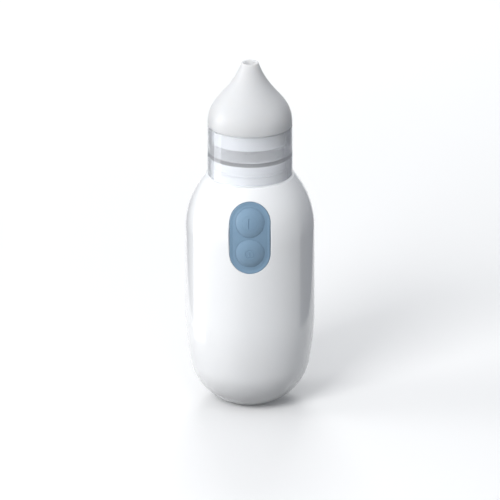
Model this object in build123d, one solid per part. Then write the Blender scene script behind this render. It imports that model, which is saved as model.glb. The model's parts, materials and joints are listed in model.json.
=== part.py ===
from build123d import *

import os
from math import cos, degrees, radians, sin, sqrt

# Battery nasal aspirator: a rounded upright handle with a diaphragm pump, a clear cup and a silicone tip.
# Millimetres. The origin is on the floor under the middle of the foot, +Z is up and the keys face -Y.

# Handle casing. Its outline is tangent arcs: bottom, flank, a straight stretch, shoulder and crown
BODY_R = 28.25
BOTTOM_R = 24.0
FLANK_R = 130.0
FLANK_ANGLE = radians(10.7)
FLANK_Z = 42.6
SHOULDER_Z = 80.0
SHOULDER_R = 37.5
SHOULDER_ANGLE = radians(31)
CROWN_R = 49.0
FLANK_CENTRE = (BODY_R - FLANK_R, FLANK_Z)
BOTTOM_CENTRE = (
    FLANK_CENTRE[0] + (FLANK_R - BOTTOM_R) * cos(FLANK_ANGLE),
    FLANK_CENTRE[1] - (FLANK_R - BOTTOM_R) * sin(FLANK_ANGLE),
)
SHOULDER_CENTRE = (BODY_R - SHOULDER_R, SHOULDER_Z)
CROWN_CENTRE = (
    SHOULDER_CENTRE[0] + (SHOULDER_R - CROWN_R) * cos(SHOULDER_ANGLE),
    SHOULDER_CENTRE[1] + (SHOULDER_R - CROWN_R) * sin(SHOULDER_ANGLE),
)
WALL = 2.2
SHELL_BASE_Z = 0.4
FLOOR_Z = 3.6
NECK_R = 19.4
NECK_Z = CROWN_CENTRE[1] + sqrt(CROWN_R**2 - (NECK_R - CROWN_CENTRE[0]) ** 2)
SEAM_Y = 3.0
SEAM_GAP = 0.25
TONGUE = 1.5
NECK_HOLE_R = 15.4

# Foot
FOOT_R = 9.0
FOOT_THICK = 1.3
FOOT_GAP = 0.1
FOOT_HOLLOW_R = 7.0
FOOT_HOLLOW = 0.3

# Key panel on the front
PANEL_W = 18.0
PANEL_H = 31.6
PANEL_Z = 83.6
PANEL_RECESS = 0.35
PANEL_BORDER = 1.5
HIGH_KEY_Z = 90.7
LOW_KEY_Z = 77.2
KEY_R = 6.3
KEY_GAP = 0.15
KEY_DOME_R = 14.0
KEY_PROUD = 1.0
KEY_FLANGE_R = 7.0
KEY_COLLAR = 0.7
KEY_BACK_Y = -20.6
KEY_TABS = (-3.5, 2.0)
PLUNGER_R = 1.7
SWITCH_HALF = 3.1
SWITCH_DEEP = 3.5

# Circuit board
BOARD_FRONT_Y = -15.5
BOARD_THICK = 1.6
BOARD_SIZE = (26.0, 33.0)
BOARD_Z = 80.7
BOARD_SCREWS = [(-11.8, 66.8), (11.8, 66.8), (-11.8, 95.2), (11.8, 95.2)]
BOARD_SCREW_R = 0.75
BOARD_POST_R = 2.2

# Battery bay and its cover at the back
CELL_R = 7.25
CELL_LENGTH = 50.5
NUB_R = 2.75
NUB_LENGTH = 1.3
CELL_X = 7.6
CELL_Y = 14.2
BAY_Z0 = 17.6
BAY_Z1 = 72.6
CONTACT_THICK = 0.4
TRAY_WALL = 1.2
TRAY_X = 16.6
TRAY_Y0 = 5.4
TRAY_Y1 = 17.3
COVER_X = 17.0
COVER_Z0 = 15.5
COVER_Z1 = 80.5
COVER_GAP = 0.2
COVER_CORNER = 3.0
LEDGE = 1.4
LEDGE_THICK = 1.3
BACK_Y = 40.0
DIMPLE_Z = 70.0
DIMPLE_R = 14.0
DIMPLE_DEPTH = 1.2
COVER_RIB_X = 14.5
COVER_RIBS_Z = (28.0, 45.0, 62.0)

# Screws that hold the casing halves and the chassis
CHASSIS_SCREWS = [(x, z) for x in (-20.0, 20.0) for z in (46.0, 70.0)]
CHASSIS_SCREW_R = 1.0
CHASSIS_POST_R = 2.4
WING_FACE_Y = 2.6
REAR_SCREW_X = 12.0
REAR_SCREW_Z = 77.0
REAR_SCREW_R = 1.1
TAB_BACK_Y = 18.4
TAB_TOP_Z = 83.5
TAB_ARM_Z = 81.0
PILOT_FIT = 0.02
SCREW_FIT = 0.2

# Exhaust slots and the muffler behind them
VENT_Z = 88.5
VENT_X = (-6, -3, 0, 3, 6)
VENT_W = 1.2
VENT_H = 8.0
MUFFLER_X = 8.5
MUFFLER_Y0 = 10.0
MUFFLER_Y1 = 19.0
MUFFLER_Z0 = 84.0
MUFFLER_Z1 = 93.0
MUFFLER_WALL = 1.0
MUFFLER_PORT = (6.0, 88.0)

# Pump and motor, on one upright axis in front of the cells
PUMP_Y = -9.6
MOTOR_R = 11.9
MOTOR_FLAT = 9.4
MOTOR_Z0 = 15.5
MOTOR_Z1 = 42.4
CAN_WALL = 0.8
SHAFT_R = 1.0
BUSH_R = 2.3
BUSH_CLEARANCE = 0.03
SLEEVE_R = 13.2
CLAMP_Z0 = 24.0
CLAMP_Z1 = 34.0
CLAMP_THICK = 1.6
EAR_X0 = 14.0
EAR_X1 = 19.5
EAR_SCREW_X = 17.4
EAR_SCREW_R = 0.8
HORN_Y = -6.0
ROTOR_Z0 = 22.0
ROTOR_Z1 = 34.0
ROTOR_R = 7.4
POLES = 3
PUMP_R = 13.3
CASE_R = 11.0
CASE_FLOOR_Z = 44.4
HUB_Z0 = 45.0
HUB_Z1 = 48.9
WOBBLE_Z0 = 49.3
WOBBLE_Z1 = 50.7
DIAPHRAGM_CUP_R = 3.7
PUMP_SCREW_R = 0.8
PUMP_SCREW_PITCH_R = 11.9
CHAMBER_TOP_Z = 59.5
FRAME_Z1 = 53.0
DIAPHRAGM_Z1 = 54.2
VALVE_Z1 = 57.0
PUMP_TOP_Z = 61.5
CUP_PITCH_R = 6.8
CRANK_OFFSET = 2.1
CRANK_PIN_R = 0.8
INLET_AT = (-7.0, -7.0)
OUTLET_AT = (2.0, -8.4)
BARB_TOP_Z = 68.0
BARB_BORE_R = 0.9
TUBE_ID_R = 1.62
TUBE_OD_R = 2.5
BARB_R = 1.58

# Neck seat, the plug that the cup sits on
SPIGOT_R = 16.9
SPIGOT_TOP_Z = 112.8
SPIGOT_WALL_R = 12.8
SPIGOT_ROOF = 2.0
SEAT_FLANGE_R = 17.2
SEAT_FLANGE_Z = 99.8
SEAT_HUB_R = 5.0
SEAT_HUB_Z = 98.0
SEAT_BARB_Z = 91.0
PORT_R = 1.5
SOCKET_R = 3.6
SOCKET_Z = 108.8
SEAL_Z = 108.7
SEAL_MAJOR_R = 16.45
SEAL_MINOR_R = 0.75
SEAL_GROOVE = 0.9

# Collection cup
CUP_Z0 = NECK_Z + 0.3
CUP_Z1 = 127.2
CUP_R0 = 18.65
CUP_R1 = 18.5
CUP_SKIRT_R = 17.2
CUP_FLOOR_Z0 = 113.3
CUP_FLOOR_Z1 = 114.7
CUP_LEDGE_Z = 120.2
CUP_BOWL_R = 16.2
CUP_MOUTH_R = 16.9
CHIMNEY_R = 3.2
CHIMNEY_BORE_R = 2.0
CHIMNEY_TOP_Z = 120.0
STUB_Z = 109.7
CUP_TAPER_Z = 114.0
CAP_R = 4.4
CAP_Z0 = 117.4
CAP_ROOF_Z = 122.3
CAP_DOME_R = 14.0
CAP_DOME_H = 1.2
CAP_WINDOW_W = 4.8

# Nose tip
TIP_LIP_Z = 127.35
TIP_SHOULDER_Z = 128.2
TIP_TOP_Z = 155.9
TIP_RIM_R = 3.8
TIP_BORE_R = 3.0
TIP_BORE_Z = 151.4
TIP_PLUG_R = 16.75
TIP_PLUG_BORE_R = 14.9
TIP_PLUG_Z = 120.4
TIP_WALL_Z = 129.6
TIP_FUNNEL_R = 16.3

# Leads
LEAD_R = 0.55


def revolved(*edges):
    """A solid turned about Z from a closed outline drawn as (radius, height)."""
    return revolve(make_face(Plane.XZ * Curve(edges)), Axis.Z)


def turned(points):
    """A solid turned about Z from the corners of its outline, as (radius, height)."""
    return revolve(make_face(Plane.XZ * Polyline(*points, close=True)), Axis.Z)


def rod(r, z0, z1, x=0.0, y=0.0):
    return Pos(x, y, (z0 + z1) / 2) * Cylinder(r, z1 - z0)


def ring(r_out, r_in, z0, z1, x=0.0, y=0.0):
    return rod(r_out, z0, z1, x, y) - rod(r_in, z0 - 1, z1 + 1, x, y)


def rod_y(r, y0, y1, x=0.0, z=0.0):
    return Pos(x, (y0 + y1) / 2, z) * Rot(90, 0, 0) * Cylinder(r, abs(y1 - y0))


def block(x0, x1, y0, y1, z0, z1):
    return Pos((x0 + x1) / 2, (y0 + y1) / 2, (z0 + z1) / 2) * Box(x1 - x0, y1 - y0, z1 - z0)


def both_sides(shape):
    return shape + mirror(shape, Plane.YZ)


def prism_y(sketch, z, y_near, y_far):
    """An upright sketch centred at height z, extruded along Y from y_near (nearer the axis) out to y_far."""
    return extrude(Plane.XZ.offset(-y_near) * Pos(0, z) * sketch, amount=y_near - y_far)


def capsule(offset, z0=-BACK_Y, z1=200.0):
    """The casing's outer form, grown by offset and kept between two heights."""
    r = BODY_R + offset
    bottom_start, crown_end = -90.0, 60.0
    flank, shoulder = degrees(FLANK_ANGLE), degrees(SHOULDER_ANGLE)
    bottom_z = BOTTOM_CENTRE[1] - BOTTOM_R - offset
    top = (
        CROWN_CENTRE[0] + (CROWN_R + offset) * cos(radians(crown_end)),
        CROWN_CENTRE[1] + (CROWN_R + offset) * sin(radians(crown_end)),
    )
    form = revolved(
        CenterArc(BOTTOM_CENTRE, BOTTOM_R + offset, bottom_start, 90 - flank),
        CenterArc(FLANK_CENTRE, FLANK_R + offset, -flank, flank),
        Line((r, FLANK_Z), (r, SHOULDER_Z)),
        CenterArc(SHOULDER_CENTRE, SHOULDER_R + offset, 0, shoulder),
        CenterArc(CROWN_CENTRE, CROWN_R + offset, shoulder, crown_end - shoulder),
        Line(top, (0, top[1])),
        Line((0, top[1]), (0, bottom_z)),
        Line((0, bottom_z), (BOTTOM_CENTRE[0], bottom_z)),
    )
    return form & block(-BACK_Y, BACK_Y, -BACK_Y, BACK_Y, z0, z1)


def surface_r(z, offset=0.0):
    """The casing's radius at height z, between the bottom arc and the crown."""
    lean = sin(SHOULDER_ANGLE) * (SHOULDER_R + offset)
    if z > SHOULDER_Z + lean:
        return CROWN_CENTRE[0] + sqrt((CROWN_R + offset) ** 2 - (z - CROWN_CENTRE[1]) ** 2)
    if z > SHOULDER_Z:
        return SHOULDER_CENTRE[0] + sqrt((SHOULDER_R + offset) ** 2 - (z - SHOULDER_Z) ** 2)
    if z < FLANK_Z - sin(FLANK_ANGLE) * (FLANK_R + offset):
        return BOTTOM_CENTRE[0] + sqrt((BOTTOM_R + offset) ** 2 - (z - BOTTOM_CENTRE[1]) ** 2)
    if z < FLANK_Z:
        return FLANK_CENTRE[0] + sqrt((FLANK_R + offset) ** 2 - (z - FLANK_Z) ** 2)
    return BODY_R + offset


def behind(y):
    return block(-BACK_Y, BACK_Y, y, BACK_Y, -BACK_Y, 200)


def in_front(y):
    return block(-BACK_Y, BACK_Y, -BACK_Y, y, -BACK_Y, 200)


def screw(length, r, head_r=None, head_h=None):
    """A cross-recessed pan head screw with its head's seat at z 0, its shank down -Z."""
    head_r = head_r or 2 * r
    head_h = head_h or 1.2 * r
    arm, width, depth = head_r * 1.3, head_r * 0.28, head_h * 0.55
    cross = Box(arm, width, depth) + Box(width, arm, depth)
    head = rod(head_r, 0, head_h) - Pos(0, 0, head_h - depth / 2) * cross
    return head + rod(r, -length, 0)


def screw_from_back(x, y, z, length, r):
    return Pos(x, y, z) * Rot(-90, 0, 0) * screw(length, r)


def tube_along(points, radii, outer, inner=None):
    path = FilletPolyline(*points, radius=radii)
    section = Circle(outer) - Circle(inner) if inner else Circle(outer)
    return sweep(Plane(origin=path @ 0, z_dir=path % 0) * section, path=path)


# ---- casing ----

def casing():
    """The whole hollow casing before it is split, with the neck hole and the foot's pocket."""
    hollow = capsule(-WALL, FLOOR_Z, NECK_Z - WALL)
    pocket = rod(FOOT_R + FOOT_GAP, -1, FOOT_THICK)
    return capsule(0, SHELL_BASE_Z, NECK_Z) - hollow - rod(NECK_HOLE_R, NECK_Z - 5, NECK_Z + 1) - pocket


def seam_tongue(extra=0.0):
    """The inner lip along the parting line, grown by extra for the rebate that takes it."""
    lip = WALL / 2 + extra
    around = capsule(-WALL + lip, FLOOR_Z - lip, NECK_Z - WALL + lip)
    hollow = capsule(-WALL, FLOOR_Z, NECK_Z - WALL)
    strip = behind(SEAM_Y - TONGUE - extra) & in_front(SEAM_Y + SEAM_GAP)
    opened = rod(NECK_HOLE_R, NECK_Z - 10, NECK_Z + 10) + rod(FOOT_R + FOOT_GAP, -1, FOOT_THICK)
    return (around & strip) - hollow - opened


def front_bosses():
    """Posts inside the front casing for the chassis and the circuit board."""
    chassis_posts = [rod_y(CHASSIS_POST_R, 0, -surface_r(z, -1.0), x, z) for x, z in CHASSIS_SCREWS]
    board_posts = [rod_y(BOARD_POST_R, BOARD_FRONT_Y, -26, x, z) for x, z in BOARD_SCREWS]
    return (Part() + chassis_posts + board_posts) & capsule(-WALL / 2)


def front_boss_holes():
    holes = [rod_y(CHASSIS_SCREW_R + PILOT_FIT, 0.1, -9, x, z) for x, z in CHASSIS_SCREWS]
    holes += [rod_y(BOARD_SCREW_R + PILOT_FIT, BOARD_FRONT_Y + 0.1, -21, x, z) for x, z in BOARD_SCREWS]
    return Part() + holes


def front_casing():
    half = casing() & in_front(SEAM_Y - SEAM_GAP / 2)
    opening = prism_y(SlotOverall(PANEL_H, PANEL_W, rotation=90), PANEL_Z, -12, -BACK_Y)
    return half + front_bosses() - seam_tongue(0.05) - opening - front_boss_holes()


def cover_outline(inset):
    """A prism of the battery cover's round-cornered outline, drawn in by inset."""
    height = COVER_Z1 - COVER_Z0 - 2 * inset
    outline = RectangleRounded(2 * (COVER_X - inset), height, COVER_CORNER - min(inset, COVER_CORNER / 2))
    return prism_y(outline, (COVER_Z0 + COVER_Z1) / 2, 8, BACK_Y)


def cover_ledge():
    """The frame inside the window that the battery cover rests on."""
    band = capsule(-WALL + 0.01) - capsule(-WALL - LEDGE_THICK)
    return (band & cover_outline(-LEDGE)) - cover_outline(LEDGE)


def rear_screw_tabs():
    """Two L-shaped tabs at the top of the bay that the rear casing is screwed through."""
    x0, x1 = REAR_SCREW_X - 2.8, REAR_SCREW_X + 2.8
    plate = block(x0, x1, TAB_BACK_Y - 1.8, TAB_BACK_Y, REAR_SCREW_Z - 2.6, TAB_TOP_Z)
    arm = block(x0, x1, TAB_BACK_Y, TAB_BACK_Y + 7, TAB_ARM_Z, TAB_TOP_Z)
    hole = rod_y(REAR_SCREW_R + 0.3, TAB_BACK_Y - 3, TAB_BACK_Y + 1, REAR_SCREW_X, REAR_SCREW_Z)
    return both_sides(((plate + arm) & capsule(-WALL / 2)) - hole)


def vent_slots():
    slot = SlotOverall(VENT_H, VENT_W, rotation=90)
    return Part() + [Pos(x, 0, 0) * prism_y(slot, VENT_Z, MUFFLER_Y1, BACK_Y) for x in VENT_X]


def rear_casing():
    half = casing() & behind(SEAM_Y + SEAM_GAP / 2)
    window = cover_outline(0)
    tongue = seam_tongue() - window
    return half + tongue - window + cover_ledge() + rear_screw_tabs() - vent_slots()


def battery_cover():
    """A piece of the casing's own skin that pulls straight off the back, with a thumb dimple."""
    skin = (capsule(0) - capsule(-WALL + 0.15)) & cover_outline(COVER_GAP)
    dimple = Pos(0, BODY_R + DIMPLE_R - DIMPLE_DEPTH, DIMPLE_Z) * Sphere(DIMPLE_R)
    band = capsule(-WALL + 0.2) - capsule(-WALL - 1.0)
    ribs = [band & block(-COVER_RIB_X, COVER_RIB_X, 8, BACK_Y, z, z + 1.0) for z in COVER_RIBS_Z]
    return skin + ribs - dimple


def foot_pad():
    pad = rod(FOOT_R, 0, FOOT_THICK)
    pad = chamfer(pad.edges().group_by(Axis.Z)[0], 0.3)
    return pad - rod(FOOT_HOLLOW_R, -0.1, FOOT_HOLLOW)


# ---- keys and electronics ----

def key_panel():
    """The blue insert: a flush border round a shallow recess, guide collars and a flange behind the casing."""
    slot = SlotOverall(PANEL_H - 0.2, PANEL_W - 0.2, rotation=90)
    floor = SlotOverall(PANEL_H - 2 * PANEL_BORDER, PANEL_W - 2 * PANEL_BORDER, rotation=90)
    flange = SlotOverall(PANEL_H + 2.0, PANEL_W + 2.0, rotation=90)
    skin = prism_y(slot, PANEL_Z, -12, -BACK_Y) & (capsule(0) - capsule(-WALL - 1.0))
    recess = prism_y(floor, PANEL_Z, -12, -BACK_Y) - capsule(-PANEL_RECESS)
    back = prism_y(flange, PANEL_Z, -12, -BACK_Y) & (capsule(-WALL - 0.05) - capsule(-WALL - 1.0))
    body = skin + back
    hole_r = KEY_R + KEY_GAP
    for z in (HIGH_KEY_Z, LOW_KEY_Z):
        body += rod_y(hole_r + KEY_COLLAR, KEY_BACK_Y - 0.9, -27, 0, z) & capsule(-WALL + 0.5)
    for z in (HIGH_KEY_Z, LOW_KEY_Z):
        body -= rod_y(hole_r, 0, -BACK_Y, 0, z)
    return body - recess


def key(z):
    """A round domed key with a flange behind it that stops it coming out."""
    lean = max(z - SHOULDER_Z, 0.0) / SHOULDER_R
    reach = KEY_DOME_R - KEY_PROUD
    dome = Pos(0, reach * sqrt(1 - lean**2) - surface_r(z), z - reach * lean) * Sphere(KEY_DOME_R)
    core_y = KEY_BACK_Y - 3.4
    barrel = rod_y(KEY_R, KEY_BACK_Y, -BACK_Y, 0, z) & (dome + rod_y(KEY_R, KEY_BACK_Y, core_y, 0, z))
    flange = rod_y(KEY_FLANGE_R, KEY_BACK_Y, KEY_BACK_Y - 0.8, 0, z)
    return barrel + (flange & block(-8, 8, core_y, KEY_BACK_Y + 1, z + KEY_TABS[0], z + KEY_TABS[1]))


def switch_plunger(z):
    return rod_y(PLUNGER_R, KEY_BACK_Y, BOARD_FRONT_Y - 2.0, 0, z)


def switch_bodies():
    bodies = []
    for z in (HIGH_KEY_Z, LOW_KEY_Z):
        y0 = BOARD_FRONT_Y - SWITCH_DEEP
        body = block(-SWITCH_HALF, SWITCH_HALF, y0, BOARD_FRONT_Y, z - SWITCH_HALF, z + SWITCH_HALF)
        bodies.append(body - rod_y(PLUNGER_R + 0.06, y0 - 1, BOARD_FRONT_Y - 1.2, 0, z))
    return Compound(bodies)


def circuit_board():
    width, height = BOARD_SIZE
    sheet = RectangleRounded(width, height, 2.0)
    board = prism_y(sheet, BOARD_Z, BOARD_FRONT_Y + BOARD_THICK, BOARD_FRONT_Y)
    hole_r = BOARD_SCREW_R + SCREW_FIT
    holes = [rod_y(hole_r, BOARD_FRONT_Y - 1, BOARD_FRONT_Y + 3, x, z) for x, z in BOARD_SCREWS]
    return board - holes


def board_components():
    """The controller, a power transistor, an inductor and two capacitors on the back of the board."""
    back = BOARD_FRONT_Y + BOARD_THICK
    chip = block(3.0, 8.0, back, back + 1.5, 83.0, 89.0)
    transistor = block(-8.0, -4.5, back, back + 1.2, 84.0, 87.0)
    inductor = rod_y(2.0, back, back + 1.6, 6.5, 77.0)
    capacitors = [block(x, x + 1.6, back, back + 0.9, 91.0, 93.5) for x in (-3.5, 1.5)]
    return Compound([chip, transistor, inductor, *capacitors])


def board_screws():
    back = BOARD_FRONT_Y + BOARD_THICK
    return Compound([screw_from_back(x, back, z, 5.5, BOARD_SCREW_R) for x, z in BOARD_SCREWS])


# ---- battery bay ----

def cell_tray():
    """The open box that holds both cells, with a trough for each and slots for the contact tabs."""
    tray = block(-TRAY_X, TRAY_X, TRAY_Y0, TRAY_Y1, BAY_Z0 - TRAY_WALL, BAY_Z1 + TRAY_WALL)
    trough_r = CELL_R + 0.2
    for x in (-CELL_X, CELL_X):
        tray -= rod(trough_r, BAY_Z0, BAY_Z1, x, CELL_Y)
    tray -= block(-CELL_X - trough_r, CELL_X + trough_r, CELL_Y, BACK_Y, BAY_Z0, BAY_Z1)
    tray -= block(-13.1, 13.1, 9.5, BACK_Y, BAY_Z0, BAY_Z0 + CONTACT_THICK + 0.1)
    return tray - both_sides(block(6.8, 9.2, 9.0, 10.0, BAY_Z1 - 1, BAY_Z1 + 3))


def clamp_horns():
    """The cradle in front of the tray that the motor's sleeve lies in."""
    arms = both_sides(block(EAR_X0, EAR_X1, HORN_Y, HORN_Y + 3.2, CLAMP_Z0, CLAMP_Z1))
    horns = block(-15, 15, HORN_Y, TRAY_Y0, CLAMP_Z0, CLAMP_Z1) + arms
    horns -= rod(SLEEVE_R + 0.05, CLAMP_Z0 - 4, CLAMP_Z1 + 4, 0, PUMP_Y)
    mid_z = (CLAMP_Z0 + CLAMP_Z1) / 2
    return horns - both_sides(rod_y(EAR_SCREW_R + PILOT_FIT, HORN_Y - 1, HORN_Y + 10, EAR_SCREW_X, mid_z))


def chassis():
    """The inner frame: cell tray, horns for the motor clamp, wings and posts for the screws."""
    wings = []
    for x, z in CHASSIS_SCREWS:
        x0, x1 = sorted((x / abs(x) * 15.5, x / abs(x) * 22.4))
        hole = rod_y(CHASSIS_SCREW_R + SCREW_FIT, -1, 3, x, z)
        head_room = rod_y(2.3, WING_FACE_Y, 8, x, z)
        wings.append(block(x0, x1, 0, 6.8, z - 4, z + 4) - hole - head_room)
    upper_wall = block(-15, 15, TRAY_Y0, TRAY_Y0 + 1.4, BAY_Z1, 80)
    upper_wall -= both_sides(rod_y(0.9, TRAY_Y0 - 1, TRAY_Y0 + 3, 8, 76.2))
    post = rod_y(2.4, TRAY_Y0, TAB_BACK_Y - 1.9, REAR_SCREW_X, REAR_SCREW_Z)
    post -= rod_y(REAR_SCREW_R + PILOT_FIT, 8, TAB_BACK_Y, REAR_SCREW_X, REAR_SCREW_Z)
    shelf = block(-3, 3, 8, 12, BAY_Z1 + TRAY_WALL, MUFFLER_Z0)
    frame = cell_tray() + clamp_horns() + wings + upper_wall + both_sides(post) + shelf
    return frame & capsule(-WALL - LEDGE_THICK - 0.3)


def cell(x, upright):
    """An AA cell, with its positive nub up if upright and down if not."""
    z0 = BAY_Z0 + CONTACT_THICK + (3.6 if upright else 0.0)
    can = rod(CELL_R, 0, CELL_LENGTH - NUB_LENGTH)
    can = fillet(can.edges(), 0.5)
    whole = can + rod(NUB_R, CELL_LENGTH - NUB_LENGTH - 0.2, CELL_LENGTH)
    if not upright:
        whole = Pos(0, 0, CELL_LENGTH) * Rot(180, 0, 0) * whole
    return Pos(x, CELL_Y, z0) * whole


def contact_bridge():
    return block(-13, 13, 9.6, 17, BAY_Z0, BAY_Z0 + CONTACT_THICK) & capsule(-WALL - 1.5)


def top_contact(side):
    """A contact plate over one cell, with a solder tab through the top of the bay."""
    top = BAY_Z1 - 0.1
    plate = block(3.0, 12.2, 9.2, 17.0, top - CONTACT_THICK, top)
    tab = block(7.0, 9.0, 9.2, 9.7, top - CONTACT_THICK, BAY_Z1 + 4)
    contact = plate + tab
    return contact if side > 0 else mirror(contact, Plane.YZ)


def contact_springs():
    """The two coil springs that press on the cells' negative ends."""
    wire, coil_r, free = 0.35, 3.2, 3.5
    path = Helix(pitch=0.86, height=free - 2 * wire - 0.04, radius=coil_r)
    coil = sweep(Plane(origin=path @ 0, z_dir=path % 0) * Circle(wire), path=path, is_frenet=True)
    low = Pos(-CELL_X, CELL_Y, BAY_Z0 + CONTACT_THICK + wire + 0.05) * coil
    high = Pos(CELL_X, CELL_Y, BAY_Z1 - 0.1 - CONTACT_THICK - free + wire + 0.02) * coil
    return Compound([low.solid(), high.solid()])


def rear_screws():
    spots = (-REAR_SCREW_X, REAR_SCREW_X)
    return Compound([screw_from_back(x, TAB_BACK_Y, REAR_SCREW_Z, 8.5, REAR_SCREW_R) for x in spots])


def chassis_screws():
    return Compound([screw_from_back(x, WING_FACE_Y, z, 8.0, CHASSIS_SCREW_R) for x, z in CHASSIS_SCREWS])


# ---- motor ----

def motor_form(offset, z0, z1):
    """The motor's round section with its two flats, grown by offset."""
    flat = MOTOR_FLAT + offset
    bar = block(-BACK_Y, BACK_Y, PUMP_Y - flat, PUMP_Y + flat, z0, z1)
    return rod(MOTOR_R + offset, z0, z1, 0, PUMP_Y) & bar


def motor_can():
    body = motor_form(0, MOTOR_Z0 + 1.4, MOTOR_Z1) - motor_form(-CAN_WALL, MOTOR_Z0, MOTOR_Z1 - CAN_WALL)
    boss = rod(3.0, MOTOR_Z1 - CAN_WALL, MOTOR_Z1 + 1.5, 0, PUMP_Y)
    return body + boss - rod(BUSH_R, MOTOR_Z1 - 3, MOTOR_Z1 + 3, 0, PUMP_Y)


def motor_end_cap():
    plug = motor_form(-CAN_WALL, MOTOR_Z0 + 1.4, MOTOR_Z0 + 2.5)
    rim = motor_form(0, MOTOR_Z0, MOTOR_Z0 + 1.4)
    return plug + rim - rod(BUSH_R, MOTOR_Z0 - 1, MOTOR_Z0 + 4, 0, PUMP_Y)


def motor_bushes():
    low = ring(BUSH_R, SHAFT_R + BUSH_CLEARANCE, MOTOR_Z0, MOTOR_Z0 + 2.4, 0, PUMP_Y)
    high = ring(BUSH_R, SHAFT_R + BUSH_CLEARANCE, MOTOR_Z1 - 1.4, MOTOR_Z1 + 1.5, 0, PUMP_Y)
    return Compound([low, high])


def motor_magnets():
    round_part = ring(MOTOR_R - CAN_WALL, 8.0, 20, 36, 0, PUMP_Y)
    arcs = round_part & block(-BACK_Y, BACK_Y, PUMP_Y - 7, PUMP_Y + 7, 19, 37)
    return Compound(arcs.solids())


def motor_brushes():
    leaf = block(2.45, 3.0, PUMP_Y - 0.9, PUMP_Y + 0.9, MOTOR_Z0 + 2.5, MOTOR_Z0 + 4.6)
    return Compound([leaf, mirror(leaf, Plane.YZ)])


def motor_terminals():
    tab = block(5.0, 5.4, PUMP_Y - 1.0, PUMP_Y + 1.0, MOTOR_Z0 - 3.0, MOTOR_Z0)
    return Compound([tab, mirror(tab, Plane.YZ)])


def on_pump_axis(shape, angle=0.0):
    return Pos(0, PUMP_Y, 0) * Rot(0, 0, angle) * shape


def motor_shaft():
    return on_pump_axis(rod(SHAFT_R, MOTOR_Z0 - 1.0, 48.9))


def rotor_core():
    """Three-pole laminations: arms that carry the coils and a shoe at the end of each."""
    core = ring(ROTOR_R, ROTOR_R - 1.2, ROTOR_Z0, ROTOR_Z1)
    for k in range(POLES):
        core -= Rot(0, 0, 60 + 120 * k) * block(0, 9, -1.1, 1.1, ROTOR_Z0 - 1, ROTOR_Z1 + 1)
    core += rod(2.6, ROTOR_Z0, ROTOR_Z1)
    for k in range(POLES):
        core += Rot(0, 0, 120 * k) * block(0, ROTOR_R - 1.0, -1.2, 1.2, ROTOR_Z0, ROTOR_Z1)
    return on_pump_axis(core - rod(SHAFT_R, ROTOR_Z0 - 2, ROTOR_Z1 + 2))


def rotor_windings():
    coil = block(3.0, 5.5, -2.5, 2.5, ROTOR_Z0 - 1.4, ROTOR_Z1 + 1.4)
    coil -= block(2.9, 5.6, -1.25, 1.25, ROTOR_Z0 - 0.05, ROTOR_Z1 + 0.05)
    return Compound([on_pump_axis(coil, 120 * k) for k in range(POLES)])


def commutator():
    return on_pump_axis(ring(2.4, SHAFT_R, MOTOR_Z0 + 2.9, MOTOR_Z0 + 4.9))


def motor_sleeve():
    z0, z1 = CLAMP_Z0 - 2, CLAMP_Z1 + 4
    return rod(SLEEVE_R, z0, z1, 0, PUMP_Y) - motor_form(0.02, z0 - 1, z1 + 1)


def motor_clamp():
    seat_r = SLEEVE_R + 0.05
    front = HORN_Y - 0.05
    mid_z = (CLAMP_Z0 + CLAMP_Z1) / 2
    band = ring(SLEEVE_R + CLAMP_THICK, seat_r, CLAMP_Z0, CLAMP_Z1, 0, PUMP_Y) & in_front(front)
    ears = both_sides(block(EAR_X0, EAR_X1, HORN_Y - 2, front, CLAMP_Z0, CLAMP_Z1))
    ears -= rod(SLEEVE_R + 0.5, CLAMP_Z0 - 4, CLAMP_Z1 + 4, 0, PUMP_Y)
    return band + ears - both_sides(rod_y(EAR_SCREW_R + 0.3, HORN_Y - 3, HORN_Y + 1, EAR_SCREW_X, mid_z))


def clamp_screws():
    one = Pos(EAR_SCREW_X, HORN_Y - 2, (CLAMP_Z0 + CLAMP_Z1) / 2) * Rot(90, 0, 0) * screw(7.0, EAR_SCREW_R)
    return Compound([one, mirror(one, Plane.YZ)])


# ---- diaphragm pump ----

def pump_screw_spots():
    r = PUMP_SCREW_PITCH_R
    return [(r * cos(radians(a)), r * sin(radians(a))) for a in (90, 210, 330)]


def pump_turns():
    """The directions of the pump's three chambers."""
    return [Rot(0, 0, 30 + 120 * k) for k in range(3)]


def crank_hub():
    hub = rod(4.2, HUB_Z0, HUB_Z1) - rod(SHAFT_R, HUB_Z0 - 1, HUB_Z1 + 1)
    return on_pump_axis(hub - rod(CRANK_PIN_R, HUB_Z0 + 1.5, HUB_Z1 + 1, CRANK_OFFSET, 0))


def crank_pin():
    return on_pump_axis(rod(CRANK_PIN_R, HUB_Z0 + 1.5, WOBBLE_Z1 - 0.2, CRANK_OFFSET, 0))


def pump_frame():
    """The pump's lower case, screwed up against the valve plate, open to the motor's boss."""
    body = rod(PUMP_R, MOTOR_Z1, FRAME_Z1) - rod(CASE_R, CASE_FLOOR_Z, FRAME_Z1 + 1) - rod(3.05, 40, 46)
    for x, y in pump_screw_spots():
        body += rod(1.9, CASE_FLOOR_Z, FRAME_Z1, x, y) & rod(PUMP_R, MOTOR_Z1, FRAME_Z1 + 5)
        body -= rod(PUMP_SCREW_R + PILOT_FIT, CASE_FLOOR_Z + 1.6, FRAME_Z1 + 1, x, y)
    return on_pump_axis(body)


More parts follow.
